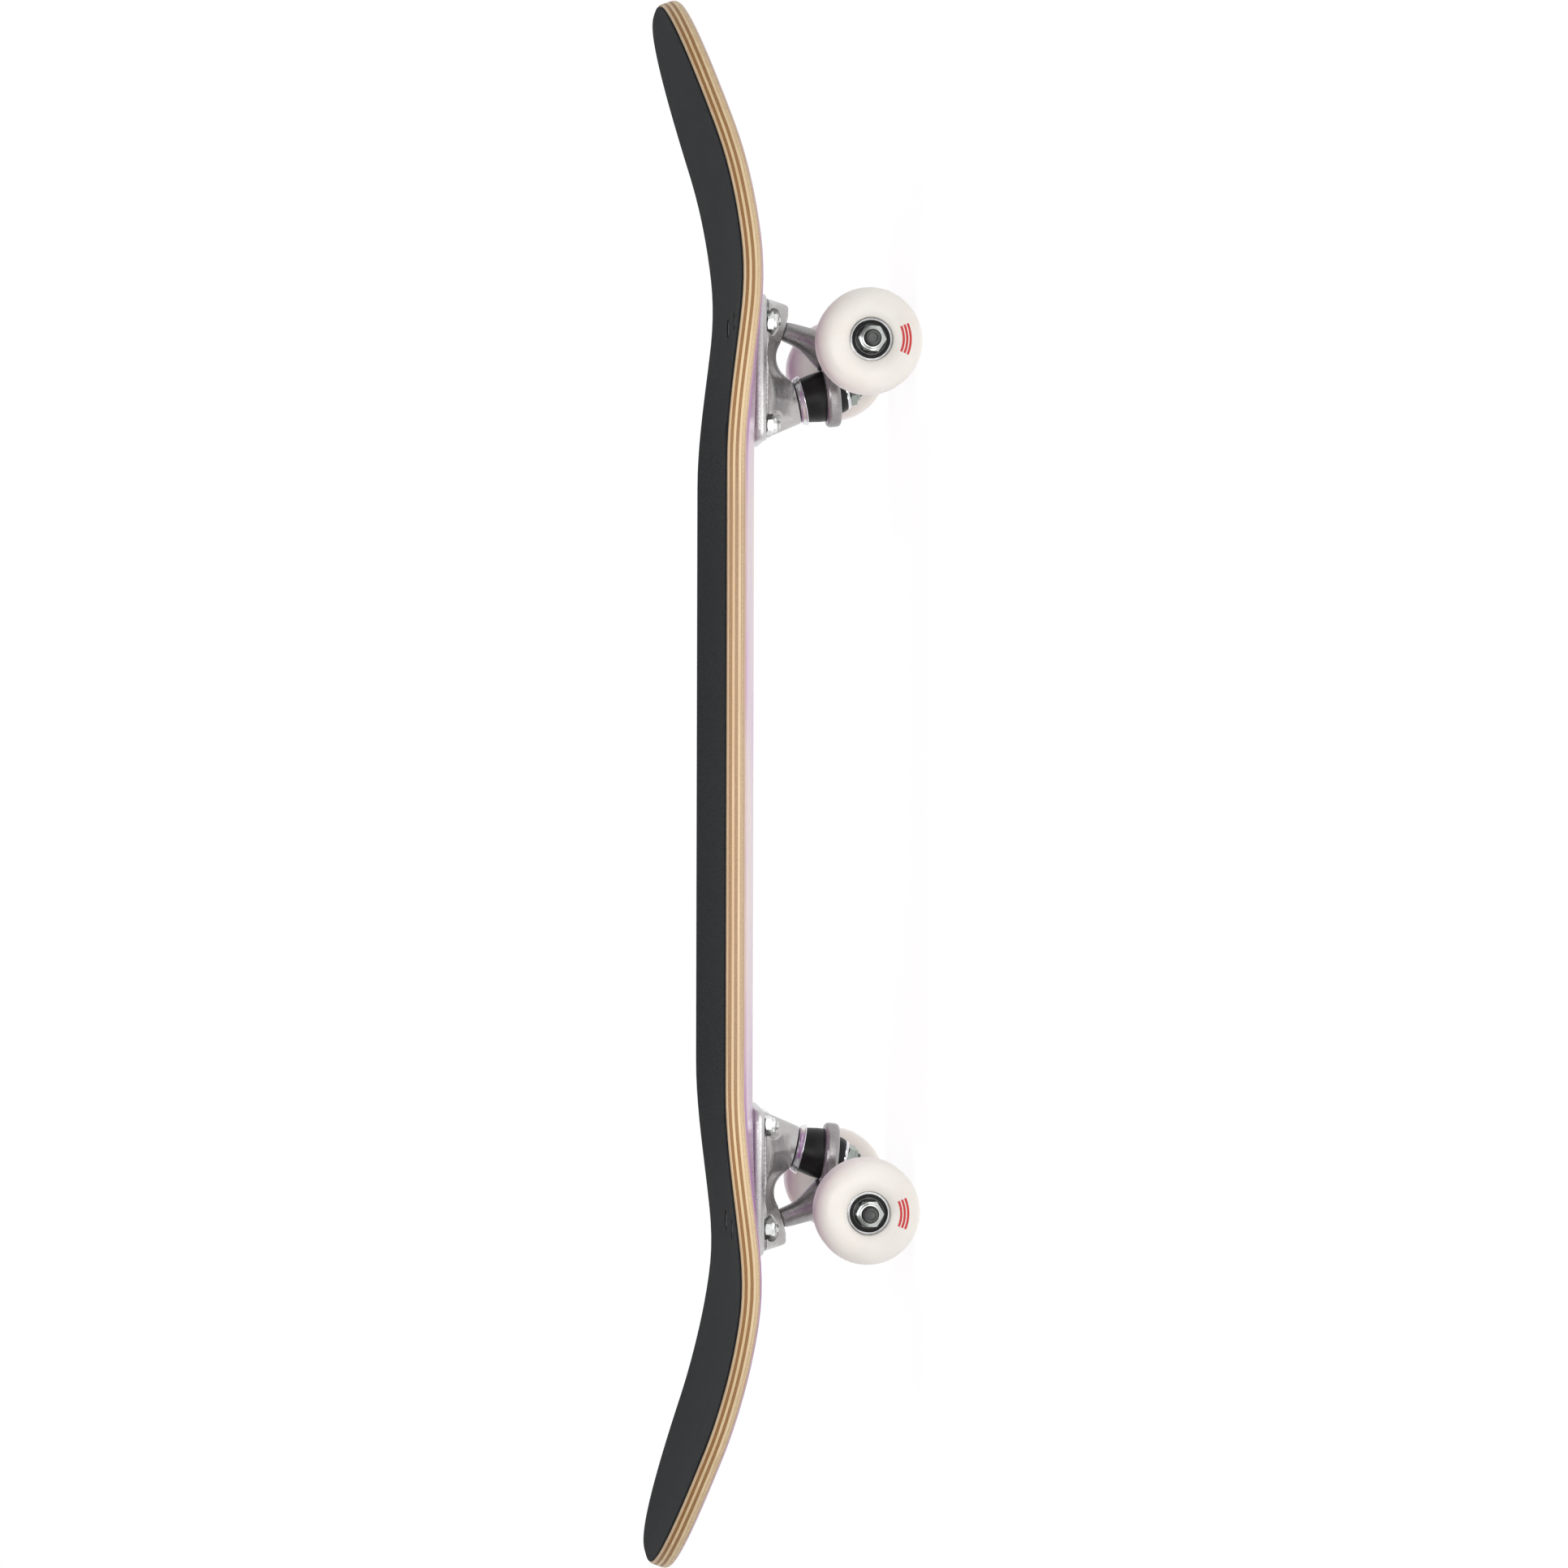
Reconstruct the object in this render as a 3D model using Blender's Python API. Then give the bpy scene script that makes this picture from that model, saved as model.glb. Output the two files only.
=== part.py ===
"""Skateboard: a seven-ply double-kick deck with grip tape, two kingpin trucks and four urethane wheels.

Everything is modelled in the board frame: X = 0 midway between the axles, Y = 0 on the centre line,
Z = 0 at the deck's underside between the trucks, +X towards the nose. The empty "skateboard" then
stands the board on its wheels. Each truck is modelled once, with local +X pointing outboard, and
the rear truck is turned half a turn about Z.
"""

import math

import bmesh
import bpy
from mathutils import Matrix, Vector

MM = 0.001
GAP = 0.3 * MM                      # clearance between pieces that touch

# Deck
PLY_COUNT = 7
PLY_THICKNESS = 1.47 * MM
DECK_THICKNESS = PLY_COUNT * PLY_THICKNESS
DECK_HALF_WIDTH = 103.2 * MM
NOSE_REACH = 416.8 * MM             # mid-wheelbase to the nose tip
TAIL_REACH = 406.1 * MM
OUTLINE_START = 200.0 * MM          # where the straight rails begin to curve in
OUTLINE_POWER = 2.9                 # superellipse exponent of the nose and tail
NOSE_KICK_START = 240.0 * MM
TAIL_KICK_START = 232.8 * MM
KICK_RADIUS = 309.0 * MM
NOSE_KICK_ANGLE = math.radians(20.4)
TAIL_KICK_ANGLE = math.radians(19.2)
CONCAVE_MID = 11.1 * MM             # rail lift between the trucks
CONCAVE_AT_KICK = 1.3 * MM
CONCAVE_NOSE = 2.2 * MM
CONCAVE_TAIL = 0.5 * MM
CONCAVE_POWER = 1.6
CONCAVE_FADE = (158.0 * MM, 275.0 * MM)
KICK_CONCAVE_FADE = (262.0 * MM, 330.0 * MM)
BOTTOM_ROUND = 3.5 * MM
TOP_ROUND = 1.2 * MM
GRIP_THICKNESS = 0.8 * MM
STATIONS_PER_END = 13
SPANS_ACROSS = 8
TIP_FRACTION = 0.985                # how far round the tip the last station lies

# Trucks
AXLE_SPACING = 443.8 * MM
AXLE_DROP = 52.5 * MM
BOLT_PITCH_X = 53.98 * MM
BOLT_PITCH_Y = 41.28 * MM
BOLT_CENTRE = -11.0 * MM            # middle of the bolt pattern from the axle, outboard positive
BOLT_RADIUS = 2.4 * MM
BOLT_HEAD_RADIUS = 4.7 * MM
BOLT_HEAD_DEPTH = 2.9 * MM
BOLT_HEAD_TOP = 11.5 * MM
BOLT_LENGTH = 24.4 * MM
LOCK_NUT_FLATS = 9.5 * MM
LOCK_NUT_HEIGHT = 5.7 * MM

FLANGE_THICKNESS = 5.2 * MM
FLANGE_INNER = -46.8 * MM
FLANGE_OUTER = 30.5 * MM
FLANGE_HALF_WIDTH = 28.0 * MM
FLANGE_CORNER = 7.0 * MM
BODY_HALF_WIDTH = 11.0 * MM

KINGPIN_TILT = math.radians(13.0)
KINGPIN_SEAT = Vector((-24.6 * MM, 0.0, -22.8 * MM))
KINGPIN_RADIUS = 4.76 * MM
KINGPIN_HEAD_FLATS = 14.0 * MM
KINGPIN_HEAD = (-20.0 * MM, -14.0 * MM)
KINGPIN_END = 35.8 * MM
KINGPIN_NUT_FLATS = 14.29 * MM
SEAT_RADIUS = 11.2 * MM
SEAT_DRAFT = math.radians(11.0)

PIVOT = Vector((14.3 * MM, 0.0, -12.0 * MM))
PIVOT_TILT = math.radians(17.0)
PIVOT_BALL_RADIUS = 4.6 * MM
PIVOT_POCKET_RADIUS = 7.4 * MM
PIVOT_POCKET_DEPTH = 6.6 * MM
PIVOT_MOUTH = 4.2 * MM              # from the pivot centre out to the housing's face

RING_CENTRE_ALONG = 19.2 * MM       # along the kingpin, from its seat
RING_TILT = math.radians(6.0)
RING_RADIUS = 17.0 * MM
RING_HALF_HEIGHT = 3.7 * MM
WEB_HALF_HEIGHT = 1.5 * MM
WEB_BORE = 7.0 * MM
LOWER_BUSHING_RADIUS = 13.0 * MM
UPPER_BUSHING_RADIUS = 10.8 * MM
NUT_CLEARANCE_RADIUS = 12.0 * MM

HANGER_HALF_WIDTH = 69.85 * MM
BEAM_RADIUS = 8.2 * MM
AXLE_RADIUS = 3.97 * MM
AXLE_HALF_LENGTH = 105.4 * MM

# Wheels and bearings
WHEEL_RADIUS = 27.0 * MM
TREAD_HALF_WIDTH = 5.5 * MM
BEARING_RADIUS = 11.0 * MM
BEARING_WIDTH = 7.0 * MM
BEARING_SPACER = 10.0 * MM
RACE_RADIUS = 6.0 * MM
SPEED_WASHER = 1.0 * MM
WHEEL_CENTRE = HANGER_HALF_WIDTH + GAP + SPEED_WASHER + BEARING_WIDTH + BEARING_SPACER / 2
AXLE_NUT_FLATS = 12.7 * MM
AXLE_NUT_HEIGHT = 6.1 * MM
WHEEL_SEGMENTS = 24
FINE_SEGMENTS = 16
SMALL_SEGMENTS = 12

RIDE_HEIGHT = AXLE_DROP + WHEEL_RADIUS


# Shapes

def polygon_radius(flat_radius, angle, sides):
    """Distance to the edge of a polygon with a flat at angle 0; a circle when sides is 0."""
    if not sides:
        return flat_radius
    step = 2 * math.pi / sides
    return flat_radius / math.cos((angle + step / 2) % step - step / 2)


def turned(profile, segments, phase=0.0):
    """Closed body turned about local Z from a closed run of (radius, height, sides) points."""
    mesh = bmesh.new()
    poles = {}
    rings = []
    for step in range(segments):
        angle = 2 * math.pi * step / segments + phase
        ring = []
        for index, (radius, height, *sides) in enumerate(profile):
            if radius == 0:
                if index not in poles:
                    poles[index] = mesh.verts.new((0, 0, height))
                ring.append(poles[index])
            else:
                reach = polygon_radius(radius, angle, sides[0] if sides else 0)
                ring.append(mesh.verts.new((reach * math.cos(angle), reach * math.sin(angle), height)))
        rings.append(ring)
    for step in range(segments):
        here, there = rings[step], rings[(step + 1) % segments]
        for index in range(len(profile)):
            after = (index + 1) % len(profile)
            corners = [here[index], here[after], there[after], there[index]]
            corners = list(dict.fromkeys(corners))
            if len(corners) > 2:
                mesh.faces.new(corners)
    bmesh.ops.recalc_face_normals(mesh, faces=mesh.faces)
    return mesh


def extruded(outline, start, end):
    """Prism on an outline of (across, along) points in the local XY plane, from start to end on Z."""
    mesh = bmesh.new()
    face = mesh.faces.new([mesh.verts.new((x, y, start)) for x, y in outline])
    lifted = bmesh.ops.extrude_face_region(mesh, geom=[face])
    verts = [item for item in lifted["geom"] if isinstance(item, bmesh.types.BMVert)]
    bmesh.ops.translate(mesh, verts=verts, vec=(0, 0, end - start))
    bmesh.ops.recalc_face_normals(mesh, faces=mesh.faces)
    return mesh


def lofted(sections, segments):
    """Capped tube through oval sections of (centre, direction, half thickness, half width along Y)."""
    mesh = bmesh.new()
    rings = []
    for centre, direction, thickness, width in sections:
        across = Vector((-direction.z, 0, direction.x)).normalized()
        ring = []
        for step in range(segments):
            angle = 2 * math.pi * step / segments
            offset = across * thickness * math.cos(angle) + Vector((0, width * math.sin(angle), 0))
            ring.append(mesh.verts.new(centre + offset))
        rings.append(ring)
    for near, far in zip(rings, rings[1:]):
        for step in range(segments):
            after = (step + 1) % segments
            mesh.faces.new([near[step], near[after], far[after], far[step]])
    mesh.faces.new(rings[0])
    mesh.faces.new(rings[-1])
    bmesh.ops.recalc_face_normals(mesh, faces=mesh.faces)
    return mesh


def moved(mesh, matrix):
    mesh.transform(matrix)
    return mesh


def frame_along(origin, direction):
    """Matrix whose local Z lies along a direction in the XZ plane, with local Y kept as Y."""
    along = direction.normalized()
    side = Vector((0, 1, 0))
    ahead = side.cross(along)
    turn = Matrix((ahead, side, along)).transposed().to_4x4()
    return Matrix.Translation(origin) @ turn


# Scene objects

def material(name, colour, roughness, metallic=0.0):
    made = bpy.data.materials.new(name)
    made.use_nodes = True
    surface = made.node_tree.nodes["Principled BSDF"]
    surface.inputs["Base Color"].default_value = (*colour, 1.0)
    surface.inputs["Roughness"].default_value = roughness
    surface.inputs["Metallic"].default_value = metallic
    return made


def add_empty(name, parent=None, location=(0, 0, 0), turn=0.0):
    empty = bpy.data.objects.new(name, None)
    empty.parent = parent
    empty.location = location
    empty.rotation_euler.z = turn
    bpy.context.collection.objects.link(empty)
    return empty


def add_object(name, mesh, parent, place=Matrix(), finish=None):
    """New object from a bmesh, which is freed; place is relative to the parent."""
    data = bpy.data.meshes.new(name)
    mesh.to_mesh(data)
    mesh.free()
    obj = bpy.data.objects.new(name, data)
    if finish:
        data.materials.append(finish)
    bpy.context.collection.objects.link(obj)
    obj.parent = parent
    obj.matrix_basis = place
    for polygon in data.polygons:
        polygon.use_smooth = True
    data.set_sharp_from_angle(angle=math.radians(35))
    return obj


def add_helper(name, mesh, parent, place=Matrix()):
    """Object that only feeds a Boolean."""
    helper = add_object(name, mesh, parent, place)
    helper.hide_render = True
    helper.display_type = "WIRE"
    return helper


def combine(obj, helper, operation):
    boolean = obj.modifiers.new(helper.name, "BOOLEAN")
    boolean.operation = operation
    boolean.solver = "EXACT"
    boolean.object = helper


# Deck and grip tape

def smooth_step(start, end, value):
    share = min(max((value - start) / (end - start), 0.0), 1.0)
    return share * share * (3 - 2 * share)


def kick_angle(x):
    """Slope of the centre line: level, then an arc, then straight to the tip."""
    start, limit = (NOSE_KICK_START, NOSE_KICK_ANGLE) if x > 0 else (TAIL_KICK_START, TAIL_KICK_ANGLE)
    along = min(max(abs(x) - start, 0.0), KICK_RADIUS * math.sin(limit))
    return math.asin(along / KICK_RADIUS)


def underside(x, y):
    """Height of the deck's underside."""
    start, limit = (NOSE_KICK_START, NOSE_KICK_ANGLE) if x > 0 else (TAIL_KICK_START, TAIL_KICK_ANGLE)
    angle = kick_angle(x)
    straight = max(abs(x) - start - KICK_RADIUS * math.sin(limit), 0.0)
    centre = KICK_RADIUS * (1 - math.cos(angle)) + straight * math.tan(limit)
    kick_concave = CONCAVE_NOSE if x > 0 else CONCAVE_TAIL
    concave = CONCAVE_MID + (CONCAVE_AT_KICK - CONCAVE_MID) * smooth_step(*CONCAVE_FADE, abs(x))
    concave += (kick_concave - CONCAVE_AT_KICK) * smooth_step(*KICK_CONCAVE_FADE, abs(x))
    return centre + concave * (abs(y) / DECK_HALF_WIDTH) ** CONCAVE_POWER


def deck_point(x, y, height):
    """Point at a height above the underside, measured square to the centre line."""
    angle = math.copysign(kick_angle(x), x)
    return Vector((x - math.sin(angle) * height, y, underside(x, y) + math.cos(angle) * height))


def outline_rows(inset):
    """(x, half width) of each row across the board, tail to nose, drawn in by an inset."""
    rows = []
    for side, reach in ((-1, TAIL_REACH - inset), (1, NOSE_REACH - inset)):
        half = []
        for step in range(STATIONS_PER_END + 1):
            turn = math.pi / 2 * TIP_FRACTION * step / STATIONS_PER_END
            x = CONCAVE_FADE[0] + (reach - CONCAVE_FADE[0]) * math.sin(turn)
            share = max(x - OUTLINE_START, 0.0) / (reach - OUTLINE_START)
            width = (DECK_HALF_WIDTH - inset) * (1 - share ** OUTLINE_POWER) ** (1 / OUTLINE_POWER)
            half.append((side * x, width))
        rows.append(half)
    tail, nose = rows
    return tail[::-1] + [(0.0, DECK_HALF_WIDTH - inset)] + nose


def board_sheet(levels):
    """Closed sheet that follows the board; levels are (inset, height), bottom face to top face."""
    mesh = bmesh.new()
    grids = []
    for number, (inset, height) in enumerate(levels):
        inner = number in (0, len(levels) - 1)
        grid = []
        for row, (x, width) in enumerate(outline_rows(inset)):
            end_row = row in (0, 2 * STATIONS_PER_END + 2)
            line = []
            for span in range(SPANS_ACROSS + 1):
                rim = end_row or span in (0, SPANS_ACROSS)
                y = width * (2 * span / SPANS_ACROSS - 1)
                line.append(mesh.verts.new(deck_point(x, y, height)) if inner or rim else None)
            grid.append(line)
        grids.append(grid)
    rows = len(grids[0])
    for grid in (grids[0], grids[-1]):
        for row in range(rows - 1):
            for span in range(SPANS_ACROSS):
                mesh.faces.new([grid[row][span], grid[row + 1][span],
                                grid[row + 1][span + 1], grid[row][span + 1]])
    rim = [(row, 0) for row in range(rows)]
    rim += [(rows - 1, span) for span in range(1, SPANS_ACROSS + 1)]
    rim += [(row, SPANS_ACROSS) for row in range(rows - 2, -1, -1)]
    rim += [(0, span) for span in range(SPANS_ACROSS - 1, 0, -1)]
    for lower, upper in zip(grids, grids[1:]):
        for (row, span), (next_row, next_span) in zip(rim, rim[1:] + rim[:1]):
            mesh.faces.new([lower[row][span], lower[next_row][next_span],
                            upper[next_row][next_span], upper[row][span]])
    bmesh.ops.triangulate(mesh, faces=mesh.faces, quad_method="FIXED")
    bmesh.ops.recalc_face_normals(mesh, faces=mesh.faces)
    return mesh


def deck_mesh():
    return board_sheet([
        (BOTTOM_ROUND, 0.0),
        (BOTTOM_ROUND * 0.3, BOTTOM_ROUND * 0.3),
        (0.0, BOTTOM_ROUND),
        (0.0, DECK_THICKNESS - TOP_ROUND),
        (TOP_ROUND * 0.6, DECK_THICKNESS),
    ])


def grip_mesh():
    bottom = DECK_THICKNESS + GAP
    return board_sheet([(TOP_ROUND * 0.6, bottom), (TOP_ROUND * 0.6, bottom + GRIP_THICKNESS)])


# Fasteners

def bolt_mesh():
    """Countersunk bolt, head up, with its top face at Z = 0."""
    return turned([(0, 0), (BOLT_HEAD_RADIUS, 0), (BOLT_HEAD_RADIUS, -0.5 * MM),
                   (BOLT_RADIUS, -BOLT_HEAD_DEPTH), (BOLT_RADIUS, -BOLT_LENGTH), (0, -BOLT_LENGTH)],
                  SMALL_SEGMENTS)


def bolt_hole_mesh():
    """Clearance round a bolt, through the deck and the grip tape."""
    wide = BOLT_HEAD_RADIUS + 1.5 * GAP
    slim = BOLT_RADIUS + 1.5 * GAP
    above = 4 * MM
    return turned([(0, above), (wide, above), (wide, -0.5 * MM - GAP),
                   (slim, -BOLT_HEAD_DEPTH - GAP), (slim, -BOLT_LENGTH), (0, -BOLT_LENGTH)],
                  SMALL_SEGMENTS)


def nut_mesh(flats, height, bore, collar):
    """Hexagonal lock nut, flat face at Z = 0 and round collar at its height."""
    hexagon = height - collar
    rim = flats / 2 * 0.94
    return turned([(bore, 0), (flats / 2, 0, 6), (flats / 2, hexagon, 6), (rim, hexagon + collar * 0.2),
                   (rim * 0.92, height), (bore, height)], SMALL_SEGMENTS)


# Truck pieces: local X outboard from the axle, Z up from the deck's underside

KINGPIN_AXIS = Vector((math.sin(KINGPIN_TILT), 0, -math.cos(KINGPIN_TILT)))
KINGPIN_FRAME = frame_along(KINGPIN_SEAT, KINGPIN_AXIS)
PIVOT_AXIS = Vector((-math.sin(PIVOT_TILT), 0, -math.cos(PIVOT_TILT)))
PIVOT_FRAME = frame_along(PIVOT, PIVOT_AXIS)
RING_CENTRE = KINGPIN_SEAT + KINGPIN_AXIS * RING_CENTRE_ALONG
RING_FRAME = frame_along(RING_CENTRE, Vector((math.sin(RING_TILT), 0, -math.cos(RING_TILT))))
AXLE_CENTRE = Vector((0, 0, -AXLE_DROP))
SIDEWAYS = Matrix.Rotation(math.radians(90), 4, "X")    # local Y up becomes world Z up


def cylinder(radius, start, end, segments=FINE_SEGMENTS):
    return turned([(0, start), (radius, start), (radius, end), (0, end)], segments)


def arc_points(centre, radius, start, end, count):
    """Points round part of a circle; angles in degrees."""
    angles = [math.radians(start + (end - start) * step / count) for step in range(count + 1)]
    return [(centre[0] + radius * math.cos(a), centre[1] + radius * math.sin(a)) for a in angles]


def flange_mesh():
    corners = ((FLANGE_OUTER, 1, 1), (FLANGE_INNER, -1, 1), (FLANGE_INNER, -1, -1), (FLANGE_OUTER, 1, -1))
    outline = []
    for number, (x, side_x, side_y) in enumerate(corners):
        centre = (x - side_x * FLANGE_CORNER, side_y * (FLANGE_HALF_WIDTH - FLANGE_CORNER))
        outline += arc_points(centre, FLANGE_CORNER, 90 * number, 90 * number + 90, 3)
    return extruded(outline, -FLANGE_THICKNESS, -GAP)


def body_mesh():
    """Casting between the pivot housing and the kingpin seat, cut away by an arc below the rib."""
    top = -2.0 * MM
    rib_arc = arc_points((-1.5 * MM, -24.3 * MM), 12.6 * MM, 52, 142, 6)
    outline = [(-25.0 * MM, top), (29.8 * MM, top), (29.0 * MM, -8.0 * MM),
               (26.2 * MM, -16.6 * MM), (24.2 * MM, -18.2 * MM), (21.0 * MM, -17.9 * MM)]
    outline += rib_arc
    outline += [(-14.2 * MM, -20.0 * MM), (-25.0 * MM, -22.8 * MM)]
    mesh = extruded([(x, z) for x, z in outline], -BODY_HALF_WIDTH, BODY_HALF_WIDTH)
    rims = [edge for edge in mesh.edges
            if all(abs(abs(vert.co.z) - BODY_HALF_WIDTH) < 1e-6 for vert in edge.verts)
            and abs(edge.verts[0].co.z - edge.verts[1].co.z) < 1e-6]
    bmesh.ops.bevel(mesh, geom=rims, offset=1.5 * MM, segments=1, affect="EDGES")
    return moved(mesh, SIDEWAYS)


def add_baseplate(end, truck, finish, holes):
    """Cast baseplate: flange, ribbed body, conical kingpin seat and pivot housing."""
    plate = add_object(f"{end}_baseplate", flange_mesh(), truck, finish=finish)
    height = 24 * MM
    cone = turned([(0, 0), (SEAT_RADIUS, 0), (SEAT_RADIUS + height * math.tan(SEAT_DRAFT), -height),
                   (0, -height)], FINE_SEGMENTS)
    housing = cylinder(9.2 * MM, -PIVOT_POCKET_DEPTH - 3 * MM, PIVOT_MOUTH)
    parts = (("body", body_mesh(), Matrix()), ("seat", cone, KINGPIN_FRAME),
             ("housing", housing, PIVOT_FRAME))
    for label, mesh, place in parts:
        combine(plate, add_helper(f"{end}_{label}_form", mesh, truck, place), "UNION")
    above = extruded([(-60 * MM, -40 * MM), (40 * MM, -40 * MM), (40 * MM, 40 * MM), (-60 * MM, 40 * MM)],
                     -GAP, 20 * MM)
    wide = KINGPIN_HEAD_FLATS * 0.62
    kingpin_hole = turned([(0, -40 * MM), (wide, -40 * MM), (wide, KINGPIN_HEAD[1] + GAP),
                           (KINGPIN_RADIUS + GAP, KINGPIN_HEAD[1] + GAP),
                           (KINGPIN_RADIUS + GAP, 8 * MM), (0, 8 * MM)], FINE_SEGMENTS)
    pocket = cylinder(PIVOT_POCKET_RADIUS, -PIVOT_POCKET_DEPTH, PIVOT_MOUTH + 6 * MM)
    cuts = (("trim", above, Matrix()), ("kingpin_hole", kingpin_hole, KINGPIN_FRAME),
            ("pocket", pocket, PIVOT_FRAME))
    for label, mesh, place in cuts:
        combine(plate, add_helper(f"{end}_{label}_cutter", mesh, truck, place), "DIFFERENCE")
    combine(plate, holes, "DIFFERENCE")
    return plate


def add_kingpin_stack(end, truck, finishes):
    """Kingpin with its head in the baseplate, cup washers, bushings and lock nut."""
    bore = KINGPIN_RADIUS + GAP
    web = (RING_CENTRE_ALONG - WEB_HALF_HEIGHT - GAP, RING_CENTRE_ALONG + WEB_HALF_HEIGHT + GAP)
    upper_face = 26.9 * MM
    head = KINGPIN_HEAD_FLATS / 2
    kingpin = [(0, KINGPIN_HEAD[0]), (head, KINGPIN_HEAD[0], 6), (head, KINGPIN_HEAD[1], 6),
               (KINGPIN_RADIUS, KINGPIN_HEAD[1]), (KINGPIN_RADIUS, KINGPIN_END - 1 * MM),
               (KINGPIN_RADIUS - 0.8 * MM, KINGPIN_END), (0, KINGPIN_END)]
    lower_washer = [(bore, GAP), (11.8 * MM, GAP), (12.4 * MM, 2.7 * MM), (11.7 * MM, 2.7 * MM),
                    (11.2 * MM, 1.6 * MM), (bore, 1.6 * MM)]
    lower_bushing = [(bore, 1.9 * MM), (10.9 * MM, 1.9 * MM), (11.6 * MM, 3.6 * MM),
                     (LOWER_BUSHING_RADIUS, 13.0 * MM), (LOWER_BUSHING_RADIUS, web[0]), (bore, web[0])]
    upper_bushing = [(bore, web[1]), (UPPER_BUSHING_RADIUS, web[1]), (UPPER_BUSHING_RADIUS, 24.0 * MM),
                     (10.2 * MM, 26.2 * MM), (9.4 * MM, upper_face), (bore, upper_face)]
    washer_face = upper_face + GAP
    upper_washer = [(bore, washer_face), (9.4 * MM, washer_face), (9.2 * MM, washer_face + 1.3 * MM),
                    (bore, washer_face + 1.3 * MM)]
    nut_face = washer_face + 1.3 * MM + GAP
    nut = nut_mesh(KINGPIN_NUT_FLATS, 6.6 * MM, bore, 2.0 * MM)
    stack = (("kingpin", turned(kingpin, SMALL_SEGMENTS), "zinc"),
             ("lower_cup_washer", turned(lower_washer, FINE_SEGMENTS), "chrome"),
             ("lower_bushing", turned(lower_bushing, FINE_SEGMENTS), "bushing"),
             ("upper_bushing", turned(upper_bushing, FINE_SEGMENTS), "bushing"),
             ("upper_cup_washer", turned(upper_washer, FINE_SEGMENTS), "chrome"),
             ("kingpin_nut", moved(nut, Matrix.Translation((0, 0, nut_face))), "zinc"))
    for label, mesh, finish in stack:
        add_object(f"{end}_{label}", mesh, truck, KINGPIN_FRAME, finishes[finish])
    cup = [(0, -PIVOT_POCKET_DEPTH + GAP), (PIVOT_POCKET_RADIUS - GAP, -PIVOT_POCKET_DEPTH + GAP),
           (PIVOT_POCKET_RADIUS - GAP, PIVOT_MOUTH - 0.2 * MM), (6.2 * MM, PIVOT_MOUTH - 0.2 * MM),
           (5.1 * MM, 0.5 * MM), (5.1 * MM, -5.1 * MM), (0, -5.1 * MM)]
    add_object(f"{end}_pivot_cup", turned(cup, FINE_SEGMENTS), truck, PIVOT_FRAME, finishes["bushing"])


def arm_mesh():
    """Arm from the pivot pin's neck down into the axle beam."""
    down = PIVOT_AXIS
    route = ((PIVOT + down * 0.5 * MM, down, 4.2, 4.2),
             (PIVOT + down * 3.0 * MM, down, 4.5, 4.5),
             (PIVOT + down * 6.0 * MM, down, 5.3, 5.3),
             (Vector((10.6 * MM, 0, -24 * MM)), Vector((-0.42, 0, -0.9)), 5.9, 6.6),
             (Vector((6.8 * MM, 0, -31.5 * MM)), Vector((-0.5, 0, -0.87)), 7.6, 9.0),
             (Vector((1.5 * MM, 0, -39.5 * MM)), Vector((-0.5, 0, -0.87)), 10.5, 14.0),
             (Vector((-0.6 * MM, 0, -50 * MM)), Vector((0, 0, -1)), 6.0, 15.0))
    return lofted([(centre, direction, thick * MM, wide * MM)
                   for centre, direction, thick, wide in route], FINE_SEGMENTS)


def gusset_mesh():
    """Shoulders that carry the beam up into the arm, in the YZ plane."""
    outline = [(-46 * MM, -50 * MM), (-15 * MM, -39 * MM), (15 * MM, -39 * MM), (46 * MM, -50 * MM)]
    mesh = extruded(outline, -6.0 * MM, 6.5 * MM)
    upright = Matrix(((0, 0, 1, 0), (1, 0, 0, 0), (0, 1, 0, 0), (0, 0, 0, 1)))
    return moved(mesh, upright)


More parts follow.
